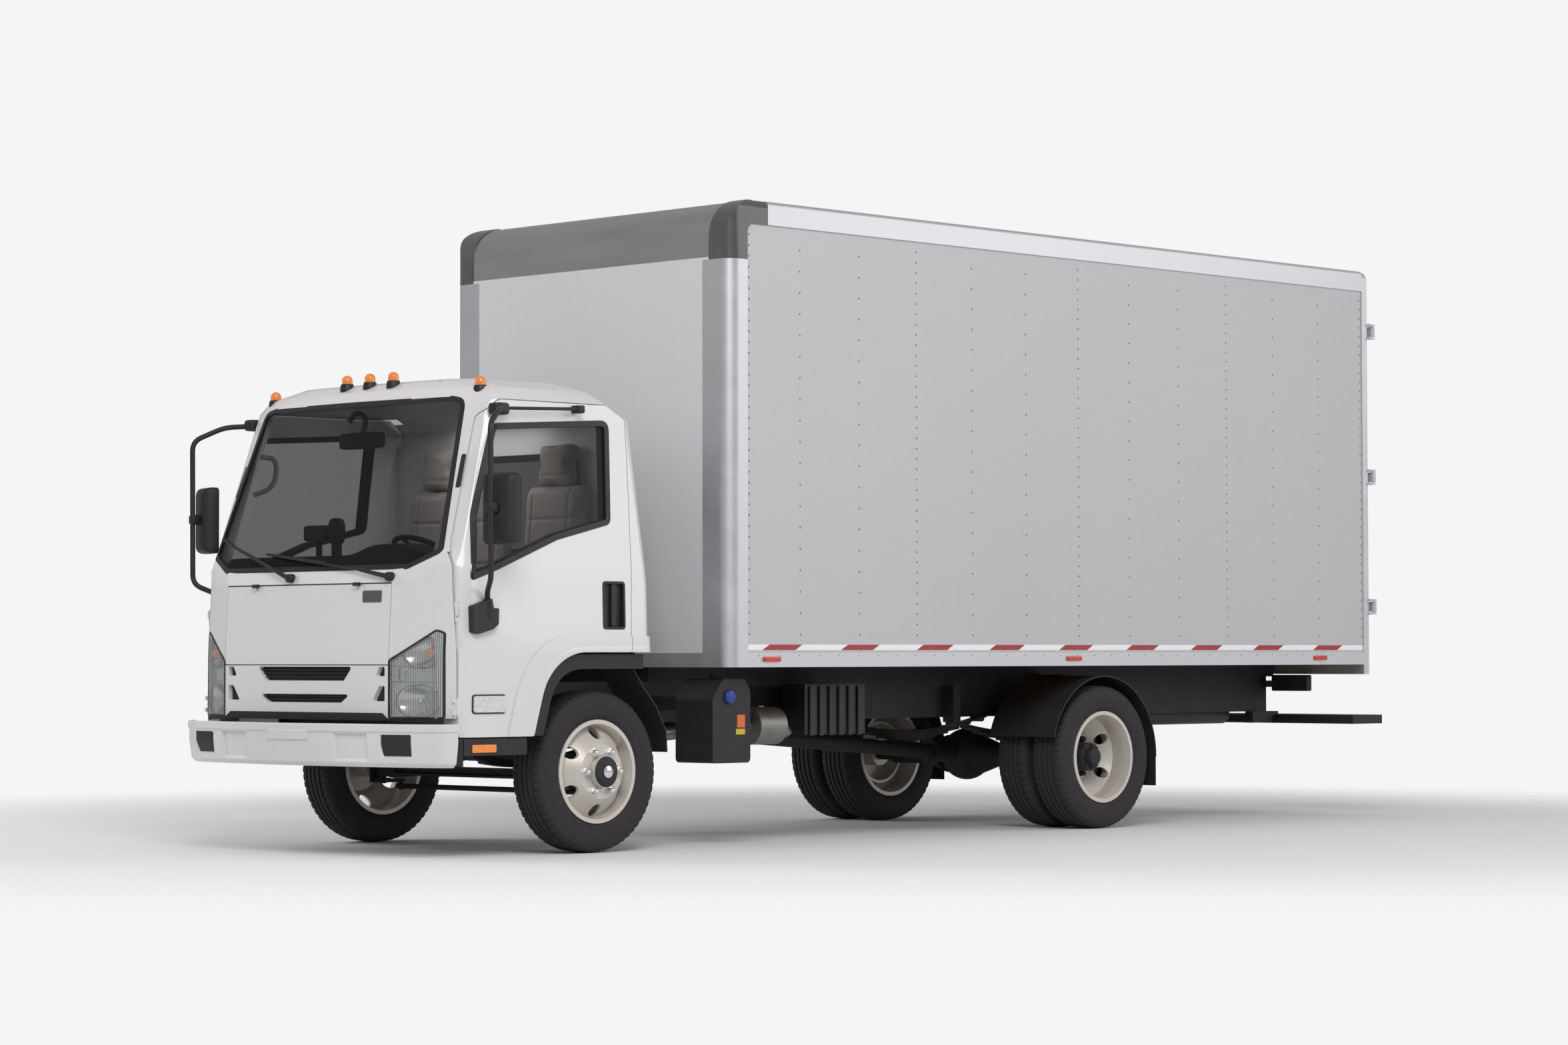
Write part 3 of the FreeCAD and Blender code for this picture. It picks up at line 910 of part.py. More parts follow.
for sign, name in ((1, "left"), (-1, "right")):
    t, r = tyre(wheel_x), rim(wheel_x, 1)
    face = wheel_x + DISC_OFFSET
    hub = rod((KINGPIN_X + 75, 0, TYRE_R), "x", 62, face - DISC_T - KINGPIN_X - 75)
    hub = hub.fuse(rod((face - DISC_T - 20, 0, TYRE_R), "x", 135, 20))
    hub = hub.fuse(rod((face - DISC_T, 0, TYRE_R), "x", HUB_R, 45))
    hub = hub.fuse(rod((face + 35, 0, TYRE_R), "x", HUB_CAP_R, 18))
    hub = hub.cut(rod((KINGPIN_X + 70, 0, TYRE_R), "x", SPINDLE_R + RUN_FIT, 140))
    wheel = joined([r, hub] + studs(face, NUT_L))
    export("tyre_front_%s" % name, t if sign > 0 else mirrored(t))
    export("wheel_front_%s" % name, wheel if sign > 0 else mirrored(wheel))
    mid = REAR_TRACK / 2
    t_in, t_out = tyre(mid - DUAL_SPACING / 2), tyre(mid + DUAL_SPACING / 2)
    r_in, r_out = rim(mid - DUAL_SPACING / 2, 1), rim(mid + DUAL_SPACING / 2, -1)
    drum = rod((mid - DISC_T - 130, 0, TYRE_R), "x", 185, 120).fuse(rod((mid - DISC_T - 20, 0, TYRE_R), "x", HUB_R, 160))
    drum = drum.cut(rod((mid - 200, 0, TYRE_R), "x", 45 + RUN_FIT, 172))
    drum = drum.fuse(rod((mid + 120, 0, TYRE_R), "x", 45, 45))
    drum = drum.cut(rod((mid - 200, 0, TYRE_R), "x", 170, 175).cut(rod((mid - 200, 0, TYRE_R), "x", HUB_R, 175)))
    tyres = [at_axle(t_in, WHEELBASE), at_axle(t_out, WHEELBASE)]
    rims = at_axle(joined([r_in, r_out, drum] + studs(mid + DISC_T, NUT_L)), WHEELBASE)
    export("tyres_rear_%s" % name, tyres if sign > 0 else [mirrored(s) for s in tyres])
    export("wheels_rear_%s" % name, rims if sign > 0 else mirrored(rims))
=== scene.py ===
# %% [markdown]
# # A box truck, dressed step by step
# The CAD model brings the truck's real solids: chassis, tilting cab, doors, freight body, wheels.
# This script gives each of them a finish, and adds what is too small or too soft for the CAD:
# tread, rivets, reflective tape, lamps, wipers, mirrors, padded seats.
# Every length is in metres, in the CAD model's own frame: -Y is the truck's nose, +X its left side.

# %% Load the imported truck
import math

import bmesh
import bpy
import numpy as np
from mathutils import Matrix, Vector


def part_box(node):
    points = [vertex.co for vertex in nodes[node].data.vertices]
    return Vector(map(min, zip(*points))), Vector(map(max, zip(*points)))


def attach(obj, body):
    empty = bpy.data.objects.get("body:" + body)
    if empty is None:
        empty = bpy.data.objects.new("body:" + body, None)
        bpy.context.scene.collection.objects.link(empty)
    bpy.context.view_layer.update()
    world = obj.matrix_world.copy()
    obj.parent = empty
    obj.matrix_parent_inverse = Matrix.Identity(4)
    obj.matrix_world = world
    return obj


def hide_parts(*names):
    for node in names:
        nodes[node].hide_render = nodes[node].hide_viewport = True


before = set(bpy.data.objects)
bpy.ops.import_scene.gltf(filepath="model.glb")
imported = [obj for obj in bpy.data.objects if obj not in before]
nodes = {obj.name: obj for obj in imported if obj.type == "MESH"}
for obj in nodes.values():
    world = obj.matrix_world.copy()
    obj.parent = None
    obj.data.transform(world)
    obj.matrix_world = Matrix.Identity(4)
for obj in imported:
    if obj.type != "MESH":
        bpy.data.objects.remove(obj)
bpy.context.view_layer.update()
low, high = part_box("tyre_front_left")
AXLE_Y = (low[1] + high[1]) / 2
TYRE_R = (high[2] - low[2]) / 2
print("front axle at y", round(AXLE_Y, 4), "tyre radius", round(TYRE_R, 4))

# %% [markdown]
# ## Small tools for shapes
# Most trim on a truck is one of four things: a flat plate, a bar carried along a path,
# a turned part, or a moulded lump. Each is a function of two parameters on a grid, so numpy can
# work out all its points at once, and one helper hands them to Blender.
# Distances along the truck are easiest to read from the front axle, so `at` adds the axle's place.

# %% Points measured from the front axle
def at(x, y, z):
    """Points in the truck's frame from metres left of the middle, behind the front axle and above
    the ground. Each of the three is a number or an array."""
    x, y, z = np.broadcast_arrays(*(np.asarray(v, float) for v in (x, y, z)))
    return np.stack([x, y + AXLE_Y, z], axis=-1)


def add_piece(name, shape, material, body, slot="", smooth=True, replaces=""):
    """One mesh object from a shape, which is its points and its faces. It gets its finish and its body,
    and may replace a CAD node; slot is not used. Edges sharper than 40 degrees stay crisp."""
    points, faces = shape
    mesh = bpy.data.meshes.new(name)
    mesh.from_pydata(np.asarray(points, float).reshape(-1, 3), [], [list(f) for f in faces])
    outward = bmesh.new()
    outward.from_mesh(mesh)
    bmesh.ops.recalc_face_normals(outward, faces=outward.faces)
    outward.to_mesh(mesh)
    outward.free()
    mesh.polygons.foreach_set("use_smooth", np.full(len(mesh.polygons), smooth))
    if smooth:
        mesh.set_sharp_from_angle(angle=math.radians(40))
    piece = bpy.data.objects.new(name, mesh)
    bpy.context.scene.collection.objects.link(piece)
    piece.data.materials.append(material)
    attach(piece, body)
    if replaces:
        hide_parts(replaces)
    return piece


def both_sides(name, shape, material, body, replaces="", **settings):
    """The piece on the left and its mirror image on the right. In body and replaces, {side} stands
    for left or right and {letter} for l or r."""
    pieces = []
    for side, keep in (("left", lambda same: same), ("right", flipped)):
        ride, stands_for = (text.format(side=side, letter=side[0]) for text in (body, replaces))
        piece = add_piece(name + "_" + side, keep(shape), material, ride, replaces=stands_for, **settings)
        pieces.append(piece)
    return pieces


def soften(piece, width):
    """A small bevel on the sharp edges, as on any moulded or pressed part."""
    bevel = piece.modifiers.new("edge", "BEVEL")
    bevel.width, bevel.segments, bevel.limit_method = width, 2, "ANGLE"


# %% Grids, plates, bars and lumps
def grid_faces(rows, cols, wrap_cols=True):
    """Quads of a rows x cols grid of points, counted row by row; the last column may meet the first."""
    r, c = np.meshgrid(np.arange(rows - 1), np.arange(cols if wrap_cols else cols - 1), indexing="ij")
    a, b = r * cols + c, r * cols + (c + 1) % cols
    return np.stack([a, b, b + cols, a + cols], axis=-1).reshape(-1, 4)


def closed_loft(rings):
    """Rings of points (rows, cols, 3) joined into a tube, with its two ends closed by flat faces."""
    rows, cols = rings.shape[:2]
    faces = [tuple(f) for f in grid_faces(rows, cols)]
    faces.append(tuple(range(cols))[::-1])
    faces.append(tuple(range((rows - 1) * cols, rows * cols)))
    return rings.reshape(-1, 3), faces


def plates(corners, depth):
    """Flat plates: each outline of corners (n, k, 3) is copied by the vector depth and walled round."""
    corners = np.asarray(corners, float)
    n, k = corners.shape[:2]
    points = np.stack([corners, corners + np.asarray(depth)], axis=1).reshape(-1, 3)
    start = (np.arange(n) * 2 * k)[:, None]
    i = np.arange(k)
    j = (i + 1) % k
    caps = np.concatenate([start + i[::-1], start + k + i])
    walls = np.stack([start + i, start + j, start + k + j, start + k + i], axis=-1).reshape(-1, 4)
    return points, [tuple(f) for f in caps] + [tuple(f) for f in walls]


def bar(path, radius, around=12, flat=1.0):
    """A round bar: at each point of the path a circle lies across the path's direction.
    Circle point = path + radius * (cos a * side + sin a * up), flat squeezes it along up."""
    path = np.asarray(path, float)
    run = np.gradient(path, axis=0)
    run /= np.linalg.norm(run, axis=1, keepdims=True)
    guide = np.eye(3)[np.argmin(np.abs(run).sum(axis=0))]
    side = np.cross(run, guide)
    side /= np.linalg.norm(side, axis=1, keepdims=True)
    up = np.cross(side, run)
    a = np.linspace(0, 2 * np.pi, around, endpoint=False)[None, :, None]
    r = np.broadcast_to(np.asarray(radius, float), (len(path),))[:, None, None]
    rings = path[:, None] + r * (np.cos(a) * side[:, None] + flat * np.sin(a) * up[:, None])
    return closed_loft(rings)


def bend(points, rounds=3):
    """Cuts each corner of a path at a quarter and three quarters of its runs, keeping both ends."""
    points = np.asarray(points, float)
    for _ in range(rounds):
        a, b = points[:-1], points[1:]
        cut = np.stack([0.75 * a + 0.25 * b, 0.25 * a + 0.75 * b], axis=1).reshape(-1, 3)
        points = np.concatenate([points[:1], cut, points[-1:]])
    return points


def turned(profile, around=48):
    """A turned part on the X axis: each (x, r) of the profile goes round as (x, r cos a, r sin a).
    The first and last points should have r near 0, which closes the part."""
    profile = np.asarray(profile, float)
    a = np.linspace(0, 2 * np.pi, around, endpoint=False)
    x = np.repeat(profile[:, :1], around, axis=1)
    r = profile[:, 1:2]
    return closed_loft(np.stack([x, r * np.cos(a), r * np.sin(a)], axis=-1))


def lump(centre, half, square=0.35, rows=18, around=32):
    """A moulded lump: a superellipsoid, each cosine and sine raised to a small power so that the
    ellipsoid swells towards its box. A power of 1 is an ellipsoid and near 0 is a box."""
    u = np.linspace(-np.pi / 2, np.pi / 2, rows)[1:-1, None]
    v = np.linspace(0, 2 * np.pi, around, endpoint=False)[None]
    power = lambda w: np.sign(w) * np.abs(w) ** square
    shape = np.stack([power(np.cos(u)) * power(np.cos(v)), power(np.cos(u)) * power(np.sin(v)),
                      power(np.sin(u)) + 0 * v], axis=-1)
    return closed_loft(np.asarray(centre) + np.asarray(half) * shape)


def copies(shape, places):
    """The same points and faces at each of the places (n, 3), as one set of arrays."""
    points, faces = shape
    places = np.asarray(places, float).reshape(-1, 3)
    n, k = len(places), len(points)
    spread = (places[:, None] + points[None]).reshape(-1, 3)
    return spread, [tuple(v + i * k for v in f) for i in range(n) for f in faces]


def together(*shapes):
    """Several sets of points and faces as one."""
    points = np.concatenate([s[0] for s in shapes])
    starts = np.cumsum([0] + [len(s[0]) for s in shapes[:-1]])
    return points, [tuple(int(v) + int(b) for v in f) for s, b in zip(shapes, starts) for f in s[1]]


def flipped(shape):
    """The mirror image across the truck's middle, with its faces turned back to point outwards."""
    points, faces = shape
    return points * (-1, 1, 1), [tuple(f)[::-1] for f in faces]


def pair(shape):
    """The shape and its mirror image as one."""
    return together(shape, flipped(shape))


print("shape tools ready")

# %% [markdown]
# ## Outlines
# Windows and lamps are polygons with rounded corners. A corner is rounded by a quadratic curve
# between two points on its edges. An outline drawn smaller gives the inner edge of a black border:
# each corner moves along the sum of its edges' normals.

# %% Rounded and inset outlines
def rounded(corners, steps=7, along=4):
    """Rows of (a, b, radius). Each corner C becomes (1-t)^2 A + 2t(1-t) C + t^2 B, A and B lying on
    its edges at radius / tan(half the corner's angle). Each straight run is cut into along parts."""
    table = np.asarray(corners, float)
    c, radius = table[:, :2], table[:, 2]
    before, after = np.roll(c, 1, axis=0) - c, np.roll(c, -1, axis=0) - c
    long_a, long_b = np.linalg.norm(before, axis=1), np.linalg.norm(after, axis=1)
    cosine = np.sum(before * after, axis=1) / (long_a * long_b)
    reach = radius / np.tan(np.arccos(np.clip(cosine, -1, 1)) / 2)
    a = c + before * (np.minimum(reach, 0.49 * long_a) / long_a)[:, None]
    b = c + after * (np.minimum(reach, 0.49 * long_b) / long_b)[:, None]
    t = np.linspace(0, 1, steps)[None, :, None]
    curve = (1 - t) ** 2 * a[:, None] + 2 * t * (1 - t) * c[:, None] + t ** 2 * b[:, None]
    u = np.linspace(0, 1, along + 1)[None, 1:-1, None]
    run = (1 - u) * b[:, None] + u * np.roll(a, -1, axis=0)[:, None]
    return np.concatenate([curve, run], axis=1).reshape(-1, 2)


def rectangle(a0, a1, b0, b1, radius):
    """The rounded outline of an upright rectangle."""
    return rounded([(a0, b0, radius), (a1, b0, radius), (a1, b1, radius), (a0, b1, radius)])


def inset(corners, depth):
    """Moves each corner inwards: C + depth * (n1 + n2) / (1 + n1.n2), n being the edges' normals."""
    c = np.asarray(corners, float)
    edge = np.roll(c, -1, axis=0) - c
    turn = np.sign(np.sum(c[:, 0] * np.roll(c[:, 1], -1) - np.roll(c[:, 0], -1) * c[:, 1]))
    n = turn * np.stack([-edge[:, 1], edge[:, 0]], axis=1) / np.linalg.norm(edge, axis=1, keepdims=True)
    m = np.roll(n, 1, axis=0)
    return c + depth * (n + m) / np.maximum(0.3, 1 + np.sum(n * m, axis=1, keepdims=True))


# %% The cab's outer form as a function
# height, half width, nose y, shoulder x and y, corner x and y, start of the side
CAB = np.array([
    (0.590, 1.015, -1.125, 0.650, -1.118, 0.900, -1.030, -0.955),
    (1.000, 1.020, -1.128, 0.650, -1.118, 0.895, -1.029, -0.950),
    (1.342, 1.012, -1.112, 0.640, -1.103, 0.890, -1.018, -0.935),
    (1.420, 1.008, -1.082, 0.700, -1.060, 0.900, -1.018, -0.930),
    (2.171, 0.942, -0.830, 0.646, -0.802, 0.797, -0.774, -0.712),
    (2.250, 0.932, -0.800, 0.640, -0.775, 0.786, -0.748, -0.690),
    (2.310, 0.880, -0.770, 0.600, -0.745, 0.730, -0.715, -0.660),
    (2.362, 0.700, -0.690, 0.500, -0.670, 0.600, -0.640, -0.580),
])
FACET = 0.035


def levels(z):
    """The seven plan values of the cab's form at height z, straight between the listed heights."""
    return [np.interp(z, CAB[:, 0], CAB[:, i]) for i in range(1, 8)]


def side_x(y, z):
    """How far out the cab's side is at (y, z): full width, less towards the front corner, where a
    facet parts the side from the slanted corner panel."""
    w, _, _, _, cx, cy, sy = levels(z)
    share = FACET / np.hypot(w - cx, sy - cy)
    facet_x, facet_y = w - (w - cx) * share, sy - (sy - cy) * share
    facet = facet_x + (y - facet_y) * (w - facet_x) / (sy + FACET - facet_y)
    slant = w - (sy - y) * (w - cx) / (sy - cy)
    return np.where(y > sy + FACET, w, np.where(y > facet_y, facet, slant))


def front_y(x, z):
    """How far forward the cab's front is at (x, z): a shallow arc of straight runs."""
    w, ny, sx, sy, cx, cy, side = levels(z)
    a = np.abs(x)
    inner = ny + (sy - ny) * a / sx
    outer = sy + (cy - sy) * (a - sx) / (cx - sx)
    corner = cy + (side - cy) * (a - cx) / (w - cx)
    return np.where(a < sx, inner, np.where(a < cx, outer, corner))


print("side of the cab at the door handle", round(float(side_x(0, 1.2)), 3))

# %% [markdown]
# ## Tools for materials
# Colours are written as sRGB hex, as a paint chart gives them, and Blender wants linear light,
# so one function converts them. Small helpers add a shader node with its settings and links, mix
# two colours, and press a pattern into the surface. `surface` builds most materials from them.

# %% Colour and node helpers
WAVE_STEP = math.pi / 10  # a wave texture of scale 1 repeats every pi/10 of a metre


def linear(code):
    """sRGB hex to linear RGBA: ((c + 0.055) / 1.055) ** 2.4, or c / 12.92 where c is very dark."""
    c = np.array([int(code[i:i + 2], 16) for i in (1, 3, 5)]) / 255
    return (*np.where(c <= 0.04045, c / 12.92, ((c + 0.055) / 1.055) ** 2.4), 1.0)


def add_node(tree, kind, links=(), **settings):
    """Adds one node. settings are its properties; links are (input socket, value or output socket)."""
    made = tree.nodes.new(kind)
    for key, value in settings.items():
        setattr(made, key, value)
    for key, value in links:
        socket = next(s for s in made.inputs if key in (s.identifier, s.name))
        if isinstance(value, bpy.types.NodeSocket):
            tree.links.new(socket, value)
        else:
            socket.default_value = value
    return made


def object_place(tree):
    """The position on the object in metres, which every pattern here reads."""
    return add_node(tree, "ShaderNodeTexCoord").outputs["Object"]


def mix(tree, factor, first, second, **settings):
    """The colour between two others, each a hex code or a socket."""
    first, second = (linear(c) if isinstance(c, str) else c for c in (first, second))
    made = add_node(tree, "ShaderNodeMix", [("Factor", factor), ("A_Color", first), ("B_Color", second)],
                    data_type="RGBA", **settings)
    return next(s for s in made.outputs if s.identifier == "Result_Color")


def feed(tree, name, value):
    """Links a value to an input of the material's shader."""
    tree.links.new(tree.nodes["Principled BSDF"].inputs[name], value)


def emboss(tree, height, depth):
    """Presses a pattern into the surface, depth metres from its darkest to its lightest."""
    bump = add_node(tree, "ShaderNodeBump", [("Height", height), ("Distance", depth), ("Strength", 1.0)])
    feed(tree, "Normal", bump.outputs[0])


def finish(name, colour, roughness, slot="", **sockets):
    """A named material: one Principled shader with its fixed values set on its own sockets."""
    made = bpy.data.materials.new(name)
    made.use_nodes = True
    shader = made.node_tree.nodes["Principled BSDF"]
    shader.inputs["Base Color"].default_value = linear(colour)
    shader.inputs["Roughness"].default_value = roughness
    for key, value in sockets.items():
        shader.inputs[key.replace("_", " ")].default_value = value
    return made


def surface(name, shades, patch_mm, rough, grain_mm=0.0, grain_um=0.0, stretch=(1, 1, 1), detail=4.0,
            slot="", **sockets):
    """A material of two close shades in soft patches of a real size, with a roughness that follows
    the patches and a fine grain in relief. stretch draws the patches out, as rolling does."""
    made = finish(name, shades[0], rough[0], slot, **sockets)
    tree = made.node_tree
    scaled = add_node(tree, "ShaderNodeMapping",
                      [("Vector", object_place(tree)), ("Scale", stretch)]).outputs[0]
    patches = add_node(tree, "ShaderNodeTexNoise",
                       [("Vector", scaled), ("Scale", 1000 / patch_mm), ("Detail", detail)]).outputs["Fac"]
    span = [("Value", patches), ("From Min", 0.1), ("From Max", 0.9)]
    shade = add_node(tree, "ShaderNodeMapRange", span)
    feed(tree, "Base Color", mix(tree, shade.outputs[0], *shades))
    gloss = add_node(tree, "ShaderNodeMapRange", span + [("To Min", rough[0]), ("To Max", rough[1])])
    feed(tree, "Roughness", gloss.outputs[0])
    if grain_mm:
        grain = add_node(tree, "ShaderNodeTexNoise",
                         [("Vector", scaled), ("Scale", 1000 / grain_mm), ("Detail", 2.0)]).outputs["Fac"]
        emboss(tree, grain, grain_um * 1e-6)
    return made


print("material tools ready")

# %% [markdown]
# ## Paints
# A truck cab is steel sprayed with acrylic enamel: a smooth, slightly wavy coat with a clear gloss.
# The body panels are aluminium sheet painted before it is cut, so they are flatter and duller. The
# front wall's sheet gets a lighter copy of the same paint, as painted light for the brighter light on
# that face, and the weather has chalked the roof.
# Chassis parts wear a thin black paint that dust settles on. Each paint is two close shades in
# large soft patches, because a wide flat panel is never lit or sprayed quite evenly.

# %% Cab enamel, panel paint and chassis paint
cab_enamel = surface("sprayed_white_acrylic_enamel", ("#D3D1D3", "#DAD8DA"), 1500, (0.27, 0.33), 2.0, 12,
                     detail=0.0, slot="cab_white", Coat_Weight=0.6, Coat_Roughness=0.06)
bumper_enamel = surface("sprayed_white_bumper_enamel", ("#CDCCCE", "#D8D7D9"), 700, (0.3, 0.42), 1.5, 10,
                        detail=0.0, slot="bumper_white", Coat_Weight=0.4, Coat_Roughness=0.12)
panel_paint = surface("precoated_white_aluminium_sheet", ("#B8B6B9", "#C1BFC2"), 1400, (0.38, 0.5), 3.0, 15,
                      (1, 1, 0.35), Coat_Weight=0.15, Coat_Roughness=0.3)
# Painted light: a lighter copy of the panel paint for the front wall, standing for the brighter light on it.
lit_front_sheet_paint = surface("precoated_white_sheet_painted_lit", ("#C6C4C7", "#CECCCF"), 1400, (0.38, 0.5), 3.0, 15,
                            (1, 1, 0.35), Coat_Weight=0.15, Coat_Roughness=0.3)
roof_sheet_paint = surface("chalked_white_roof_sheet", ("#BFBDC0", "#C9C7CA"), 1400, (0.58, 0.7), 3.0, 15,
                           (1, 0.35, 1))
chassis_paint = surface("thin_black_chassis_paint", ("#17161B", "#211F25"), 120, (0.45, 0.7), 1.2, 25)
cast_iron = surface("painted_cast_iron", ("#1A191D", "#272529"), 60, (0.6, 0.8), 2.5, 120, slot="cast_dark")
engine_iron = surface("bare_grey_cast_iron", ("#323235", "#454447"), 70, (0.55, 0.75), 2.0, 100, Metallic=0.3)
tank_paint = surface("satin_black_tank_paint", ("#19181D", "#232228"), 200, (0.35, 0.5), 1.0, 15)
wheel_enamel = surface("stoved_silver_wheel_enamel", ("#C4BEB6", "#D2CCC4"), 90, (0.33, 0.45), 0.8, 12,
                       Metallic=0.25, Coat_Weight=0.25, Coat_Roughness=0.2)
print("paints mixed")

# %% [markdown]
# ## Bare metals
# The body's rails and posts are extruded aluminium, drawn through a die, which leaves fine lines
# along their length. The panel over the nose of the body is rolled sheet left in its mill finish:
# greyer, with scuffs from branches and washing. Wheel nuts are chromed.

# %% Aluminium, chrome and exhaust steel
extruded = surface("extruded_bright_aluminium", ("#C2C2C6", "#D2D2D6"), 160, (0.4, 0.52), 1.2, 6,
                   (1, 0.06, 1), Metallic=0.8)
rolled = surface("rolled_mill_aluminium_sheet", ("#9A9A9E", "#B2B2B6"), 90, (0.28, 0.42), 1.5, 10,
                 (0.12, 1, 1), detail=8.0, Metallic=0.85)
rivet_metal = surface("weathered_aluminium_rivet", ("#6C6C70", "#828286"), 40, (0.45, 0.6), slot="rail_metal",
                      Metallic=0.4)
chrome = surface("polished_chrome_plate", ("#E0E0E4", "#F0F0F2"), 30, (0.05, 0.13), slot="lamp_bowl",
                 Metallic=1.0)
exhaust_steel = surface("aluminised_exhaust_steel", ("#7C7A76", "#A09E9A"), 60, (0.35, 0.6), 1.0, 20,
                        Metallic=0.8)
print("metals ready")

# %% [markdown]
# ## Plastics and rubber
# Grille, mirrors, mudguards and arch trims are injection-moulded polypropylene with a fine
# spark-eroded grain. The body's corner caps are smooth moulded plastic. Tyres are carbon-black
# rubber, which scatters light in its surface and looks dark grey rather than black.

# %% Moulded plastics and tyre rubber
trim_plastic = surface("grained_black_polypropylene", ("#212023", "#2A282C"), 150, (0.5, 0.62), 0.9, 45,
                       slot="dark_plastic", Specular_IOR_Level=0.4)
cap_plastic = surface("moulded_grey_corner_plastic", ("#434246", "#535256"), 180, (0.26, 0.38), 1.5, 10,
                      Coat_Weight=0.2)
tyre_rubber = surface("carbon_black_tyre_rubber", ("#2A272A", "#373437"), 55, (0.68, 0.85), 0.8, 60,
                      slot="tyre_black", Specular_IOR_Level=0.3)
seal_rubber = surface("extruded_black_window_rubber", ("#1A191C", "#232225"), 80, (0.42, 0.6), 0.8, 25,
                      slot="dark_plastic")
cabin_plastic = surface("moulded_dark_cabin_plastic", ("#2C2B2F", "#38373B"), 120, (0.55, 0.68), 0.9, 50,
                        slot="dark_plastic")
print("plastics and rubber ready")

# %% [markdown]
# ## Floor boards
# A freight body's floor is strips of oak glued side by side, each about 30 mm wide, running the
# length of the body. A brick pattern with very long bricks gives the strips, and a stretched
# noise gives the grain along them.

# %% Laminated oak
deck_boards = finish("laminated_oak_floor", "#9A7950", 0.5)
tree = deck_boards.node_tree
place = object_place(tree)
turned_place = add_node(tree, "ShaderNodeMapping", [("Vector", place), ("Rotation", (0, 0, math.pi / 2))])
strips = add_node(tree, "ShaderNodeTexBrick",
                  [("Vector", turned_place.outputs[0]), ("Color1", linear("#8F6F48")),
                   ("Color2", linear("#A58459")), ("Mortar", linear("#5B4630")), ("Scale", 1.0),
                   ("Mortar Size", 0.0008), ("Brick Width", 0.9), ("Row Height", 0.03)])
grain_place = add_node(tree, "ShaderNodeMapping", [("Vector", place), ("Scale", (1, 0.04, 1))]).outputs[0]
grain = add_node(tree, "ShaderNodeTexNoise", [("Vector", grain_place), ("Scale", 160.0), ("Detail", 5.0)])
shade = add_node(tree, "ShaderNodeMapRange",
                 [("Value", grain.outputs["Fac"]), ("To Min", 0.75), ("To Max", 1.1)])
wood = mix(tree, 1.0, strips.outputs["Color"], shade.outputs[0], blend_type="MULTIPLY")
feed(tree, "Base Color", wood)
print("floor boards laid")

# %% [markdown]
# ## Glass and lamp lenses
# The windows are green-grey tinted glass. The headlamp lens is clear polycarbonate with upright
# flutes 9 mm apart. A wave pattern gives them in relief, and paints them as dark and bright stripes
# of painted shade and highlight, without more mesh.
# Marker lamps are acrylic, coloured all through.

# %% Tinted glass, fluted lens and coloured acrylics
FLUTE_STEP = 0.009
window_glass = finish("tinted_safety_glass", "#15191B", 0.02, Alpha=0.41, Specular_IOR_Level=0.12)
tree = window_glass.node_tree
ripple = add_node(tree, "ShaderNodeTexNoise",
                  [("Vector", object_place(tree)), ("Scale", 3.0), ("Detail", 1.0)])
feed(tree, "Base Color", mix(tree, ripple.outputs["Fac"], "#14181A", "#171B1D"))

lens_clear = finish("fluted_polycarbonate_painted_glints", "#C4C8CA", 0.05, "lens_clear", Alpha=0.26)
tree = lens_clear.node_tree
flutes_and_painted_glints = add_node(tree, "ShaderNodeTexWave",
                  [("Vector", object_place(tree)), ("Scale", WAVE_STEP / FLUTE_STEP)],
                  bands_direction="X").outputs["Fac"]
emboss(tree, flutes_and_painted_glints, 0.0016)
# Painted highlight and shade: the flutes' stripes set the lens's colour from dark grey to near white.
feed(tree, "Base Color", mix(tree, flutes_and_painted_glints, "#3A3D40", "#E6EAEC"))


def acrylic(name, shades, slot):
    """Coloured lamp acrylic with fine prisms inside, drawn as small cells in relief. Each cell's tone,
    lighter towards its edge, is a painted glint of the prisms.
    """
    made = finish(name, shades[0], 0.12, slot, Coat_Weight=0.8, Coat_Roughness=0.05)
    inner = made.node_tree
    prisms_and_painted_glints = add_node(inner, "ShaderNodeTexVoronoi", [("Vector", object_place(inner)), ("Scale", 140.0)],
                     feature="F1").outputs["Distance"]
    # Painted glint: each cell runs from the first shade at its middle to the lighter one at its edge.
    feed(inner, "Base Color", mix(inner, prisms_and_painted_glints, *shades))
    emboss(inner, prisms_and_painted_glints, 0.0008)
    return made


amber = acrylic("amber_lamp_acrylic", ("#E8701A", "#F5A04A"), "lamp_amber")
ruby = acrylic("red_lamp_acrylic", ("#B01C1C", "#D8403A"), "lamp_red")
clear_lamp = acrylic("clear_lamp_acrylic", ("#B9B9BB", "#E4E4E6"), "lens_clear")
print("glass and lenses ready")

# %% [markdown]
# ## Seat cloth
# Truck seats are covered in a flat woven polyester. Two fine waves at right angles stand for its
# threads, drawn at 2.5 mm so that they show, and a slow noise keeps the cloth from looking new.

# %% Woven polyester
THREAD_STEP = 0.0025
seat_cloth = surface("flat_woven_seat_polyester", ("#877F7B", "#978F8B"), 60, (0.85, 0.95), slot="seat_cloth",
                     Sheen_Weight=0.3, Sheen_Roughness=0.5)
tree = seat_cloth.node_tree
place = object_place(tree)
warp, weft = (add_node(tree, "ShaderNodeTexWave", [("Vector", place), ("Scale", WAVE_STEP / THREAD_STEP)],
                       bands_direction=way).outputs["Fac"] for way in "XZ")
weave = add_node(tree, "ShaderNodeMath", [("Value", warp), ("Value_001", weft)], operation="ADD")
emboss(tree, weave.outputs[0], 0.0004)
print("seat cloth woven")

# %% [markdown]
# ## Finishes for the CAD parts
# Each CAD node keeps its shape and only changes its material. Nodes that a later step replaces are
# left out. Cab panels are shaded smooth where they bend by less than 35 degrees, as pressed steel
# is, and stay crisp at real edges.

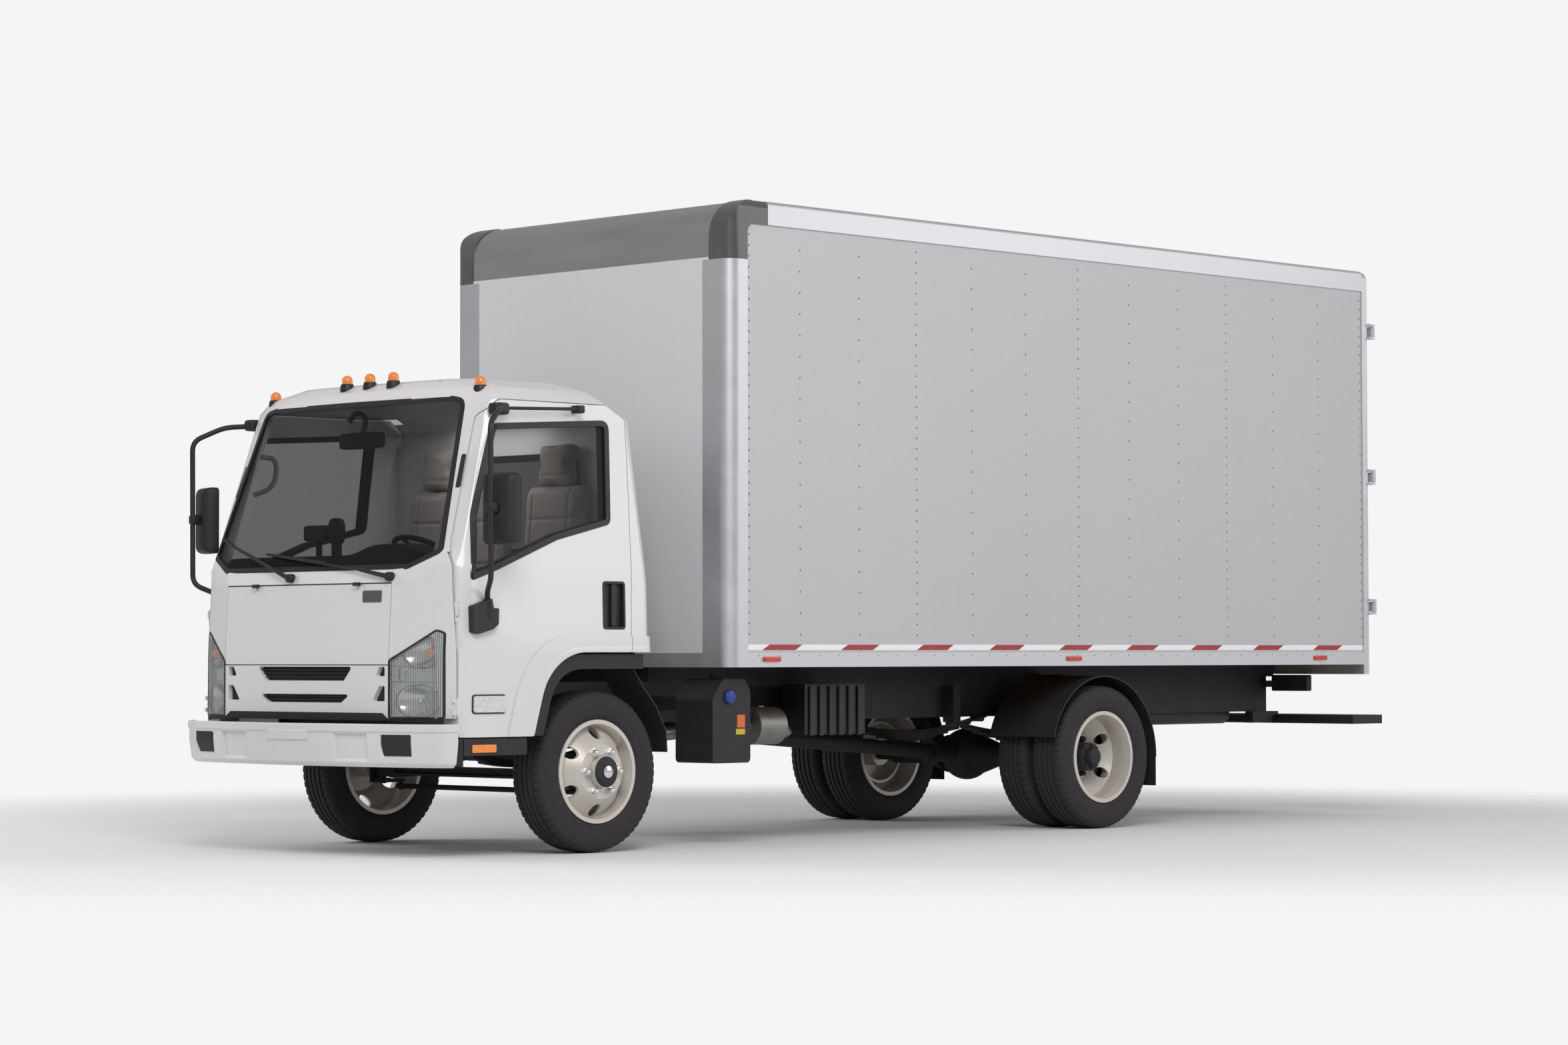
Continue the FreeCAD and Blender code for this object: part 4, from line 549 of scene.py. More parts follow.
# %% Dress every CAD node that shows
dress = {
    cab_enamel: ("cab_shell", "door_left", "door_right", "front_lid"),
    lit_front_sheet_paint: ("box_front_wall",),
    roof_sheet_paint: ("box_roof",),
    panel_paint: ("box_side_walls", "cargo_door_left", "cargo_door_right"),
    rolled: ("box_nose_panel",),
    cap_plastic: ("box_corner_caps",),
    deck_boards: ("box_floor",),
    chassis_paint: ("frame", "leaf_springs", "rear_bumper"),
    cast_iron: ("front_axle", "rear_axle", "driveshaft", "knuckle_left", "knuckle_right", "tie_rod"),
    engine_iron: ("engine",),
    exhaust_steel: ("exhaust",),
    tank_paint: ("fuel_tank", "battery_boxes"),
    trim_plastic: ("side_tank", "mudguards", "grille", "cab_trim", "bumper_inserts"),
    cabin_plastic: ("dashboard", "steering_wheel"),
    window_glass: ("cab_glass", "door_left_glass", "door_right_glass"),
    extruded: ("box_rear_frame", "box_rails"),
    clear_lamp: ("door_left_lamp", "door_right_lamp"),
    wheel_enamel: ("wheel_front_left", "wheel_front_right", "wheels_rear_left", "wheels_rear_right"),
}
for material, names in dress.items():
    for node in (nodes[name] for name in names):
        node.data.materials.clear()
        node.data.materials.append(material)
        node.data.polygons.foreach_set("use_smooth", np.full(len(node.data.polygons), True))
        node.modifiers.new("weld", "WELD").merge_threshold = 0.00002
        node.modifiers.new("crisp", "EDGE_SPLIT").split_angle = math.radians(35)
        node.modifiers.new("even", "WEIGHTED_NORMAL").keep_sharp = True
print("dressed", sum(len(names) for names in dress.values()), "of", len(nodes), "CAD nodes")

# %% [markdown]
# ## Tyres
# A truck tyre is a moulded ring: two stiff beads on the rim, bulging side walls, and a tread of
# ribs parted by grooves round its girth, with short slots across the outer ribs. The section is a
# closed line of (x, r) points carried round the axle. The radius of the outer ribs drops wherever
# the angle falls in a slot, so one grid holds the whole tread.

# %% Tread and side walls
HALF_SECTION = np.array([  # distance from the tyre's middle, radius
    (0.000, 0.4060), (0.010, 0.4060), (0.013, 0.3965), (0.021, 0.3965), (0.024, 0.4058),
    (0.045, 0.4052), (0.048, 0.3955), (0.056, 0.3955), (0.059, 0.4042), (0.080, 0.4020), (0.088, 0.3995),
    (0.0965, 0.3925), (0.1015, 0.3830), (0.1055, 0.3700), (0.1095, 0.3530), (0.1122, 0.3350),
    (0.1128, 0.3200), (0.1105, 0.3050), (0.1065, 0.2920), (0.1075, 0.2880), (0.1060, 0.2840),
    (0.1005, 0.2760), (0.0955, 0.2690), (0.0925, 0.2640), (0.0893, 0.2625), (0.0893, 0.2480)])
SLOTS = 60
SLOT_DEPTH, SLOT_SKEW = 0.007, 0.012  # metres, and radians that a slot lies aslant
WHEELBASE = 3.810
FRONT_X, REAR_X, DUAL = 0.8325, 0.825, 0.1275  # tyres' middles; a twin's two tyres lie at REAR_X +- DUAL


def tyre(x, y):
    """Section points (x, r) turned about the axle; r drops by the slots' depth in the outer ribs."""
    section = np.concatenate([HALF_SECTION[::-1] * (-1, 1), HALF_SECTION[1:]])
    turn = np.arange(SLOTS * 4)
    a = 2 * np.pi * turn / len(turn)
    out = np.abs(section[:, 0])
    shoulder = (out > 0.0585) & (out < 0.1)
    slot = (turn % 4 == 0)[None, :] * shoulder[:, None]
    r = section[:, 1:2] - SLOT_DEPTH * slot
    skew = a[None, :] + SLOT_SKEW * np.sign(section[:, :1]) * shoulder[:, None]
    ring = np.stack([np.broadcast_to(section[:, :1] + x, r.shape),
                     y + AXLE_Y + r * np.cos(skew), TYRE_R + r * np.sin(skew)], axis=-1)
    rows, cols = ring.shape[:2]
    faces = grid_faces(rows + 1, cols) % (rows * cols)
    return ring.reshape(-1, 3), [tuple(f)[::-1] for f in faces]


for sign, side in ((1, "left"), (-1, "right")):
    front_tyre = add_piece("tread_front_" + side, tyre(sign * FRONT_X, 0), tyre_rubber, "wheel_f" + side[0],
                           replaces="tyre_front_" + side)
    twin = together(*(tyre(sign * (REAR_X + step), WHEELBASE) for step in (-DUAL, DUAL)))
    add_piece("treads_rear_" + side, twin, tyre_rubber, "wheels_r" + side[0], replaces="tyres_rear_" + side)
print("tyre faces", len(front_tyre.data.polygons))

# %% [markdown]
# ## Wheel nuts and hub caps
# Six cap nuts hold each wheel, chromed in front. A cap nut is a turned dome on a hexagon: one profile
# goes round in six steps for its flats and another in many for its dome. The front hub has a black
# grease cap with a bright centre.

# %% Chrome nuts and hubs
NUT_CIRCLE = 0.22225 / 2
FRONT_FACE_X, REAR_FACE_X = 0.960, 0.835  # the discs' outer faces, where the nuts sit


def nut_places(x, y):
    """Six places at 60 degree steps round the axle."""
    a = np.radians(60 * np.arange(6))
    return np.stack([x + 0 * a, y + AXLE_Y + NUT_CIRCLE * np.cos(a), TYRE_R + NUT_CIRCLE * np.sin(a)], axis=1)


flats = turned([(0, 0.0001), (0, 0.0215), (0.003, 0.0215), (0.0035, 0.0195), (0.022, 0.0185),
                (0.0245, 0.015)], 6)
dome = turned([(0.020, 0.0001), (0.020, 0.0150), (0.026, 0.0145), (0.031, 0.0115), (0.0335, 0.0065),
               (0.0345, 0.0001)], 20)
cap_nut = together(flats, dome)
outer_cap = turned([(-0.004, 0.0001), (-0.004, 0.079), (0.034, 0.079), (0.040, 0.072), (0.0455, 0.055),
                    (0.047, 0.0352), (0.047, 0.0001)], 48)
bright_cap = turned([(0.040, 0.0001), (0.040, 0.0305), (0.052, 0.0305), (0.0535, 0.028), (0.0535, 0.0001)],
                    32)
hub_place = [[FRONT_FACE_X, AXLE_Y, TYRE_R]]
both_sides("wheel_nuts_front", copies(cap_nut, nut_places(FRONT_FACE_X, 0)), chrome, "wheel_f{letter}")
both_sides("hub_cap", copies(outer_cap, hub_place), trim_plastic, "wheel_f{letter}")
both_sides("hub_centre", copies(bright_cap, hub_place), chrome, "wheel_f{letter}")
both_sides("wheel_nuts_rear", copies(cap_nut, nut_places(REAR_FACE_X, WHEELBASE)), cast_iron,
           "wheels_r{letter}")
print("nuts and hubs fitted")

# %% [markdown]
# ## Rivets on the freight body
# The side panels are riveted to posts every 452 mm. Most posts have a rivet every 112 mm, and
# those where two sheets overlap have one every 56 mm. A rivet head is a low dome 11 mm across:
# three rings of eight points are enough for something repeated hundreds of times.

# %% Rivet heads
def rivet(radius=0.0055, height=0.0024):
    """A low dome standing on +X: rings at 0, 35 and 65 degrees, closed by a top face."""
    lift = np.radians([0, 35, 65])[:, None]
    a = np.linspace(0, 2 * np.pi, 8, endpoint=False)[None]
    r = radius * np.cos(lift)
    return closed_loft(np.stack([height * np.sin(lift) + 0 * a, r * np.cos(a), r * np.sin(a)], axis=-1))


WALL_X, RAIL_X = 1.072, 1.080  # outer faces of the side wall and of the bottom rail
wide_z, close_z = np.arange(1.095, 3.19, 0.112), np.arange(1.095, 3.19, 0.056)
posts = [(1.314 + 0.452 * k, close_z if k in (2, 5, 8) else wide_z) for k in range(11)]
rows = [at(WALL_X, y, z) for y, z in posts + [(0.936, close_z), (6.262, close_z)]]
both_sides("side_rivets", copies(rivet(), np.concatenate(rows)), rivet_metal, "chassis")
rail_places = at(RAIL_X, np.arange(1.0, 6.2, 0.15), 0.984)
both_sides("rail_rivets", copies(rivet(0.004, 0.0018), rail_places), rivet_metal, "chassis")
print("rivets", 2 * sum(len(r) for r in rows))

# %% [markdown]
# ## Reflective tape
# Long vehicles carry red and white reflective tape along the bottom of each side. It is a strip
# 30 mm high of small glass prisms under plastic film: white all along, with slanted red blocks.
# Each block is a plate of four corners, and all nine are made from one array of start points.

# %% Tape on both sides
tape_white = surface("white_reflective_film", ("#ECECED", "#F6F6F7"), 40, (0.25, 0.38), 3.0, 30,
                     slot="box_white", Coat_Weight=0.5)
tape_red = surface("red_reflective_film", ("#94191F", "#A8262E"), 40, (0.25, 0.38), 3.0, 30,
                   slot="lamp_red", Coat_Weight=0.5)
tape_line = at(WALL_X + 0.0001, [0.922, 6.276, 6.276, 0.922], [1.013, 1.013, 1.043, 1.043])
starts = 1.030 + 0.592 * np.arange(9)[:, None]
blocks = at(WALL_X + 0.0006, starts + (0, 0.245, 0.300, 0.055), [1.0135, 1.0135, 1.0425, 1.0425])
both_sides("tape_white", plates(tape_line[None], (0.0005, 0, 0)), tape_white, "chassis", smooth=False)
both_sides("tape_red", plates(blocks, (0.0004, 0, 0)), tape_red, "chassis", smooth=False)
print("red blocks a side", len(blocks))

# %% [markdown]
# ## Window rubbers and the arch liner
# Panes are held by black rubber or bonded behind a black printed border. Each is a strip of one
# section laid along a closed line on the cab's skin: four copies of the line are its four edges.
# The doors' strips also line the whole depth of the door, which is what shows from across the cab.

# %% Strips and patches that follow the skin
def front_face(a, b, out=0.0):
    """Points on the cab's front at x = a and z = b, standing out from it."""
    return at(a, front_y(a, b) - out, b)


def left_face(a, b, out=0.0):
    """Points on the cab's left side at y = a and z = b, standing out from it."""
    return at(side_x(a, b) + out, a, b)


def rear_face(a, b, out=0.0):
    """Points on the cab's upper back at x = a and z = b, standing out from it."""
    return at(a, np.interp(b, [1.420, 2.171], [0.285, 0.226]) + out, b)


def strip(line, over, under, face, out, depth):
    """A closed strip along an outline, from over outside it to under inside it, and from out above
    the skin down by depth."""
    outer, inner = inset(line, -over), inset(line, under)
    rows = np.stack([face(*outer.T, out - depth), face(*outer.T, out),
                     face(*inner.T, out), face(*inner.T, out - depth)])
    count = rows.shape[0] * rows.shape[1]
    return rows.reshape(-1, 3), [tuple(f) for f in grid_faces(5, rows.shape[1]) % count]


def patch(line, face, out, depth):
    """A plate in the shape of a closed line, from out above the skin down by depth."""
    n = len(line)
    i = np.arange(n)
    j = (i + 1) % n
    walls = np.stack([i, j, n + j, n + i], axis=1)
    points = np.concatenate([face(*line.T, out), face(*line.T, out - depth)])
    return points, [tuple(i), tuple(n + i[::-1])] + [tuple(f) for f in walls]


SCREEN = [(-0.717, 1.412, 0.06), (0.717, 1.412, 0.06), (0.897, 1.491, 0.03), (0.786, 2.247, 0.07),
          (0.700, 2.263, 0.06), (-0.700, 2.263, 0.06), (-0.786, 2.247, 0.07), (-0.897, 1.491, 0.03)]
DOOR_PANE = [(-0.905, 1.352, 0.015), (-0.868, 1.670, 0.3), (-0.712, 2.120, 0.05), (0.060, 2.166, 0.05),
             (0.031, 1.648, 0.04), (-0.333, 1.562, 0.06), (-0.749, 1.403, 0.06)]
ARCH = [(-0.498, 0.594, 0.002), (-0.386, 0.993, 0.290), (0.245, 0.993, 0.002), (0.245, 0.920, 0.002),
        (-0.335, 0.920, 0.230), (-0.432, 0.594, 0.002)]
screen_border = strip(rounded(SCREEN), 0.004, 0.022, front_face, 0.002, 0.016)
add_piece("windscreen_border", screen_border, seal_rubber, "cab")
rear_rubber = strip(rectangle(-0.560, 0.560, 1.520, 2.020, 0.06), 0.010, 0.024, rear_face, 0.004, 0.045)
add_piece("rear_window_rubber", rear_rubber, seal_rubber, "cab")
door_rubber = strip(rounded(DOOR_PANE), 0.004, 0.026, left_face, 0.002, 0.062)
both_sides("door_window_rubber", door_rubber, seal_rubber, "cab_door_{side}")
arch_liner = plates(at(0.940, *rounded(ARCH, steps=14).T)[None], (0.066, 0, 0))
both_sides("arch_liner", arch_liner, trim_plastic, "cab")
print("rubbers and liners fitted")

# %% [markdown]
# ## Wipers
# Two pressed steel arms, painted black, park along the foot of the windscreen. Each has a thick
# root over its spindle, a slimmer arm, and a rubber blade of about 0.5 m in a thin carrier.
# All of them follow the glass, 12 to 30 mm in front of it.

# %% Wiper arms and blades
STEPS = 14


def along_screen(start, end, out):
    """Points in even steps between two (x, z) places, standing out from the windscreen."""
    return front_face(*np.linspace(start, end, STEPS).T, out)


for name, root, knee, tip, blade_end in (
        ("right", (-0.126, 1.375), (-0.569, 1.515), (-0.825, 1.588), (-0.400, 1.452)),
        ("left", (0.635, 1.373), (0.389, 1.412), (-0.372, 1.500), (0.130, 1.448))):
    arm = bar(along_screen(root, knee, 0.030), np.linspace(0.013, 0.008, STEPS), flat=0.6)
    rod_end = bar(along_screen(knee, tip, 0.026), 0.0055, 8)
    blade = bar(along_screen(tip, blade_end, 0.012), 0.007, 8, flat=1.6)
    hub = lump(front_face(*root, 0.016), (0.022, 0.022, 0.022), 0.6)
    add_piece("wiper_" + name, together(arm, rod_end, blade, hub), seal_rubber, "cab")
print("wipers parked")

# %% [markdown]
# ## What shows through the windscreen
# An interior mirror hangs from the header on a bent stem. A light plastic grab handle is screwed to
# the right pillar, and a small camera and its round mount stand on the dashboard.

# %% Mirror, handle and camera
mirror_stem = bend(at([0.03, 0.02, -0.07, -0.10], [-0.775, -0.740, -0.735, -0.760],
                      [2.100, 2.190, 2.225, 2.170]))
inner_mirror = together(lump(at(0.041, -0.790, 2.070), (0.165, 0.022, 0.042), 0.3),
                        bar(mirror_stem, 0.014, 10))
add_piece("interior_mirror", inner_mirror, cabin_plastic, "cab")
camera_mount = together(lump(at(-0.225, -0.850, 1.608), (0.080, 0.045, 0.040), 0.25),
                        lump(at(-0.085, -0.850, 1.615), (0.050, 0.028, 0.068), 0.6),
                        bar(at(-0.225, -0.850, [1.575, 1.500, 1.410]), 0.016, 10),
                        bar(at(-0.085, -0.850, [1.560, 1.490, 1.410]), 0.026, 10))
add_piece("dash_camera", camera_mount, cabin_plastic, "cab")
grab_line = bend(at([-0.800, -0.755, -0.765, -0.830], [-0.775, -0.700, -0.715, -0.800],
                    [2.020, 2.010, 1.860, 1.822]))
grip_plastic = surface("light_grey_cabin_plastic", ("#888C8D", "#979B9C"), 60, (0.45, 0.55), 0.9, 30,
                       slot="dark_plastic")
add_piece("pillar_grab_handle", bar(grab_line, 0.013, 10), grip_plastic, "cab")
print("cabin fittings placed")

# %% [markdown]
# ## Headlamps
# Behind each fluted lens is a metallised reflector with two oval bowls, a large one below for the
# headlamp and a smaller one above for the turn lamp, whose bulb is amber. A paraboloid throws a
# bulb's light forward, so inside an oval the surface is pushed back by d (1 - q), q being the
# squared distance from the oval's middle in units of its half axes. Lens and reflector are grids
# between an inner edge, which leans outwards above a knee, and an outer edge.

# %% Reflector, rim, bulbs and lens lines
LAMP = [(0.650, 0.684, 0.012), (0.936, 0.685, 0.012), (0.933, 1.098, 0.015), (0.897, 1.112, 0.020),
        (0.650, 0.964, 0.015)]
# each bowl's middle x and z, half width, half height and depth
BOWLS = np.array([(0.795, 0.766, 0.118, 0.080, 0.050), (0.812, 0.998, 0.098, 0.072, 0.045)])
REFLECTOR_BACK = 0.077


def thick_sheet(front, rear):
    """A closed plate from two grids of points of one shape: the sheets and the walls between them."""
    rows, cols = front.shape[:2]
    points = np.concatenate([front.reshape(-1, 3), rear.reshape(-1, 3)])
    sheet = grid_faces(rows, cols, wrap_cols=False)
    i = np.arange(rows * cols).reshape(rows, cols)
    loop = np.concatenate([i[0, :-1], i[:-1, -1], i[-1, :0:-1], i[:0:-1, 0]])
    turn = np.roll(loop, -1)
    walls = np.stack([loop, turn, turn + rows * cols, loop + rows * cols], axis=1)
    return points, [tuple(f) for f in np.concatenate([sheet, sheet[:, ::-1] + rows * cols, walls])]


def lamp_grid(z, inner_x, outer_x, cols):
    """Grids of x and z between an inner and an outer edge given at each height."""
    x = inner_x[:, None] + (outer_x - inner_x)[:, None] * np.linspace(0, 1, cols)[None]
    return x, np.broadcast_to(z[:, None], x.shape)


def reflector(rows=72, cols=56):
    """A closed plate whose front is the skin set back by 20 mm and by the bowls, from edge to edge."""
    z = np.linspace(0.692, 1.080, rows)
    x, z = lamp_grid(z, 0.663 + np.maximum(0, z - 0.978) * 1.90, 0.918 - (z - 0.690) * 0.082, cols)
    bx, bz, rx, rz, deep = (BOWLS[:, i, None, None] for i in range(5))
    q = ((x - bx) / rx) ** 2 + ((z - bz) / rz) ** 2
    back = 0.020 + np.sum(deep * np.maximum(0, 1 - q), axis=0)
    return thick_sheet(front_face(x, z, -back), front_face(x, z, -REFLECTOR_BACK))


edge_z = np.linspace(0.688, 1.100, 40)
lens_inner, lens_outer = 0.653 + np.maximum(0, edge_z - 0.966) * 1.68, 0.934 - (edge_z - 0.688) * 0.007
lens_x, lens_z = lamp_grid(edge_z, lens_inner, lens_outer, 30)
lens = thick_sheet(front_face(lens_x, lens_z, 0.0035), front_face(lens_x, lens_z, 0.0015))
flank_x, flank_z = lamp_grid(edge_z, 0.919 - (edge_z - 0.690) * 0.085, lens_outer - 0.002, 6)
flank = thick_sheet(front_face(flank_x, flank_z, 0.0012), front_face(flank_x, flank_z, -0.002))
bowl_metal = surface("vacuum_metallised_reflector", ("#D8DADB", "#ECEEEF"), 12, (0.10, 0.22),
                     slot="lamp_bowl", Metallic=0.9)
add_piece("fluted_lenses", pair(lens), lens_clear, "cab", replaces="headlamp_lenses")
add_piece("lamp_reflectors", together(pair(reflector()), pair(flank)), bowl_metal, "cab",
          replaces="headlamp_housings")
both_sides("headlamp_rim", strip(rounded(LAMP), 0.003, 0.006, front_face, 0.004, 0.020), seal_rubber, "cab")
steps = [bar(front_face(np.linspace(x0, x1, 8), np.linspace(z0, z1, 8), -0.010), 0.0016, 6)
         for x0, z0, x1, z1 in ((0.662, 0.936, 0.900, 0.928), (0.662, 0.862, 0.906, 0.856),
                                (0.880, 0.700, 0.868, 1.070))]
# Painted shade: the dark rings are thin black bars laid round the bowls' edges, where the bowls look dark.
circle = np.linspace(0.05, 2 * np.pi, 48)
rings = [bar(front_face(bx + rx * np.cos(circle), bz + rz * np.sin(circle), -0.012), 0.0024, 6)
         for bx, bz, rx, rz, _ in BOWLS]
both_sides("headlamp_lines_and_shade_rings", together(*steps, *rings), trim_plastic, "cab")
bulbs = together(lump(front_face(0.795, 0.766, -0.035), (0.016, 0.026, 0.016), 0.8),
                 lump(front_face(0.700, 0.895, -0.018), (0.028, 0.004, 0.030), 0.3))
both_sides("headlamp_bulbs", bulbs, chrome, "cab")
both_sides("turn_bulb", lump(front_face(0.845, 1.000, -0.034), (0.032, 0.022, 0.026), 0.8), amber, "cab")
print("headlamps assembled")

# %% [markdown]
# ## Small parts on the cab
# Black rims frame the ribbed turn lamps in the doors. A black dish lines each handle recess.
# There is an amber reflector on each step, a short black slot in each pillar, a blank grey plate
# on the lid, and a dark strip under the grille, painted shade for the gap there, which is cut higher
# in its middle to clear the tilted frame.

# %% Lamp frames, handle dishes, reflectors and slots
DISH_X, STEP_X = 0.9952, 1.0122  # the floor of the handle recess, and the step's outer face
STRIP_LOW, STRIP_MIDDLE, STRIP_HIGH = 0.658, 0.672, 0.684
side_lamp = rectangle(-0.899, -0.697, 0.712, 0.792, 0.012)
handle_line = rectangle(-0.037, 0.106, 1.122, 1.353, 0.015)
lamp_frame = together(strip(side_lamp, 0.007, 0.004, left_face, 0.003, 0.012),
                      patch(rectangle(-0.764, -0.757, 0.714, 0.790, 0.001), left_face, 0.0025, 0.004))
both_sides("side_lamp_frame", lamp_frame, trim_plastic, "cab_door_{side}")
rib_y = np.r_[-0.888:-0.770:0.009, -0.748:-0.702:0.009]
lamp_ribs = copies(bar([(0, 0, 0.715), (0, 0, 0.75), (0, 0, 0.789)], 0.0035, 6),
                   at(side_x(-0.8, 0.75) - 0.001, rib_y, 0.0))
both_sides("side_lamp_ribs", lamp_ribs, clear_lamp, "cab_door_{side}")
dish = together(strip(handle_line, 0.005, 0.007, left_face, 0.0025, 0.016),
                plates(at(DISH_X, *inset(handle_line, 0.0006).T)[None], (0.0012, 0, 0)))
both_sides("handle_dish", dish, seal_rubber, "cab_door_{side}")
reflector_line = rectangle(-0.899, -0.746, 0.518, 0.556, 0.006)
both_sides("step_reflector", plates(at(STEP_X, *reflector_line.T)[None], (0.004, 0, 0)), amber, "cab")
slot_line = rounded([(0.851, 1.972, 0.009), (0.871, 1.972, 0.009), (0.888, 1.806, 0.009),
                     (0.867, 1.806, 0.009)])
both_sides("pillar_slot", patch(slot_line, front_face, 0.003, 0.006), seal_rubber, "cab")
plate_grey = surface("anodised_grey_plate", ("#545457", "#606063"), 40, (0.4, 0.5), slot="dark_plastic",
                     Metallic=0.3)
lid_plate = patch(rectangle(0.440, 0.580, 1.249, 1.306, 0.006), front_face, 0.003, 0.003)
add_piece("lid_plate", lid_plate, plate_grey, "lid")
# Painted shade: a thin dark sheet laid on the skin where the gap under the grille is in shade.
across = np.concatenate([[-0.930, -0.900], np.linspace(-0.640, 0.640, 33), [0.900, 0.930]])[:, None]
low_z = np.where(np.abs(across) > 0.7, STRIP_LOW, STRIP_MIDDLE)
high_z = STRIP_HIGH + np.clip((0.640 - np.abs(across)) * 0.9, 0, 0.025)
corner_z = np.concatenate([low_z, high_z, high_z, low_z], axis=1)
corner_out = np.array([[0.0015, 0.0015, -0.002, -0.002]])
gap_shade = closed_loft(front_face(np.repeat(across, 4, axis=1), corner_z, corner_out))
add_piece("gap_shade_strip", gap_shade, seal_rubber, "cab")
print("small parts placed")

# %% [markdown]
# ## Blank labels and the tank's blue cap
# The square tank has a blue filler cap and two small stickers. The stickers stay blank, as plain
# coloured film.

# %% Cap and stickers
TANK_X = 0.9652  # the tank's outer face
blue_plastic = surface("moulded_blue_cap_plastic", ("#1B347C", "#214097"), 30, (0.35, 0.45), 1.0, 20,
                       slot="dark_plastic")
filler = turned([(0.0, 0.0001), (0.0, 0.036), (0.014, 0.036), (0.018, 0.032), (0.020, 0.024),
                 (0.020, 0.0001)], 32)
add_piece("tank_filler_cap", copies(filler, at(TANK_X, 0.895, 0.772)), blue_plastic, "chassis")
for name, shades, edges in (("orange", ("#D05F26", "#E26C2F"), (0.953, 1.010, 0.613, 0.679)),
                            ("yellow", ("#C2A728", "#D1B634"), (0.944, 1.010, 0.577, 0.606))):
    film = surface("blank_%s_film" % name, shades, 20, (0.35, 0.45), slot="dark_plastic")
    label = plates(at(TANK_X, *rectangle(*edges, 0.003).T)[None], (0.0006, 0, 0))
    add_piece("blank_label_" + name, label, film, "chassis")
print("labels blank")

# %% [markdown]
# ## Roof lamps, body lamps and rear hubs
# The five roof lamps are amber domes on black rubber bases: turned parts stood on end by swapping
# X and Z. Red markers sit in the bottom rail, and black boxes carry the red tail lamps. The rear
# hubs are black, with a stepped flange that stands out of the dished wheel.

# %% Lamps and hubs
def upright(shape):
    """A part turned about X, stood on end."""
    points, faces = shape
    return points[:, ::-1], faces


BODY_BACK = 6.330
FLANGE_CIRCLE = 0.065
lamp_spots = at([0.810, 0.183, 0.0, -0.183, -0.810], [-0.671, -0.704, -0.705, -0.704, -0.671],
                [2.304, 2.356, 2.357, 2.356, 2.304])
arc = np.radians(np.arange(10, 90, 10))
dome_profile = [(0.006, 0.0001), (0.006, 0.0265), (0.032, 0.0275),
                *zip(0.032 + 0.027 * np.sin(arc), 0.0275 * np.cos(arc)), (0.0592, 0.0001)]
base_profile = [(-0.024, 0.0001), (-0.024, 0.036), (-0.002, 0.036), (0.006, 0.0335), (0.012, 0.0325),
                (0.0145, 0.030), (0.0145, 0.0001)]
domes, bases = (copies(upright(turned(line, 32)), lamp_spots) for line in (dome_profile, base_profile))
add_piece("roof_lamp_domes", domes, amber, "cab", replaces="roof_lamps")
add_piece("roof_lamp_bases", bases, seal_rubber, "cab")

marker = lump((0, 0, 0), (0.007, 0.060, 0.0135), 0.2, rows=10, around=24)
header_lamp = lump((0, 0, 0), (0.040, 0.0075, 0.014), 0.2, rows=10, around=24)
header_places = at([-0.3, -0.15, 0.0, 0.15, 0.3], BODY_BACK + 0.008, 3.305)
tail_lens = lump(at(0.565, 6.254, 0.810), (0.118, 0.006, 0.040), 0.15, rows=12, around=32)
body_lamps = together(pair(copies(marker, at(RAIL_X + 0.0065, [1.0915, 3.5165, 5.8265], 0.967))),
                      copies(header_lamp, header_places), pair(tail_lens))
add_piece("body_lamp_lenses", body_lamps, ruby, "chassis", replaces="body_lamps")
box_line = rectangle(0.430, 0.700, 0.760, 0.860, 0.012)
box_outline = at(box_line[:, 0], 6.200, box_line[:, 1])
arm_outline = at([0.4252, 0.470, 0.470, 0.4252], 6.100, [0.785, 0.785, 0.825, 0.825])
lamp_box = together(plates(box_outline[None], (0, 0.050, 0)), plates(arm_outline[None], (0, 0.102, 0)))
add_piece("tail_lamp_boxes", pair(lamp_box), trim_plastic, "chassis", "chassis_black")

hub_profile = [(0.0, 0.0001), (0.0, 0.0812), (0.128, 0.0812), (0.1335, 0.0775), (0.1335, 0.0520),
               (0.160, 0.0500), (0.167, 0.0460), (0.169, 0.0400), (0.169, 0.0001)]
bolt_profile = [(0.130, 0.0001), (0.130, 0.0085), (0.1415, 0.0085), (0.1425, 0.0075), (0.1425, 0.0001)]
bolt_turn = np.radians(45 * np.arange(8))
bolt_places = at(REAR_X, WHEELBASE + FLANGE_CIRCLE * np.cos(bolt_turn),
                 TYRE_R + FLANGE_CIRCLE * np.sin(bolt_turn))
rear_hub = together(copies(turned(hub_profile, 48), at(REAR_X, WHEELBASE, TYRE_R)),
                    copies(turned(bolt_profile, 6), bolt_places))
both_sides("rear_hub", rear_hub, cast_iron, "wheels_r{letter}")
print("lamps and hubs fitted")

# %% [markdown]
# ## Mirrors and door handles
# Each door carries a mirror on a long tube: from a notched plastic foot on the door's lower front
# corner, straight up past the head, and back over to a clamp above the window, from where a thin
# rod runs along the rain gutter. The head is a moulded shell with silvered glass on its back.

# %% Mirror arms, heads and handle grips
def tube_path(points, reach=0.05):
    """A path whose corners are cut only within reach of them, so that long runs stay straight."""
    points = np.asarray(points, float)
    kept = [points[0]]
    for a, b, c in zip(points[:-2], points[1:-1], points[2:]):
        before, after = a - b, c - b
        near, far = (min(reach, np.linalg.norm(v) / 2.1) / np.linalg.norm(v) for v in (before, after))
        t = np.linspace(0, 1, 6)[:, None]
        p, q = b + near * before, b + far * after
        kept.extend((1 - t) ** 2 * p + 2 * t * (1 - t) * b + t ** 2 * q)
    return np.array(kept + [points[-1]])


def swung(shape, degrees, place):
    """The shape turned about the upright axis and moved to its place."""
    points, faces = shape
    c, s = math.cos(math.radians(degrees)), math.sin(math.radians(degrees))
    turn = np.array([[c, -s, 0], [s, c, 0], [0, 0, 1]])
    return points @ turn.T + place, faces


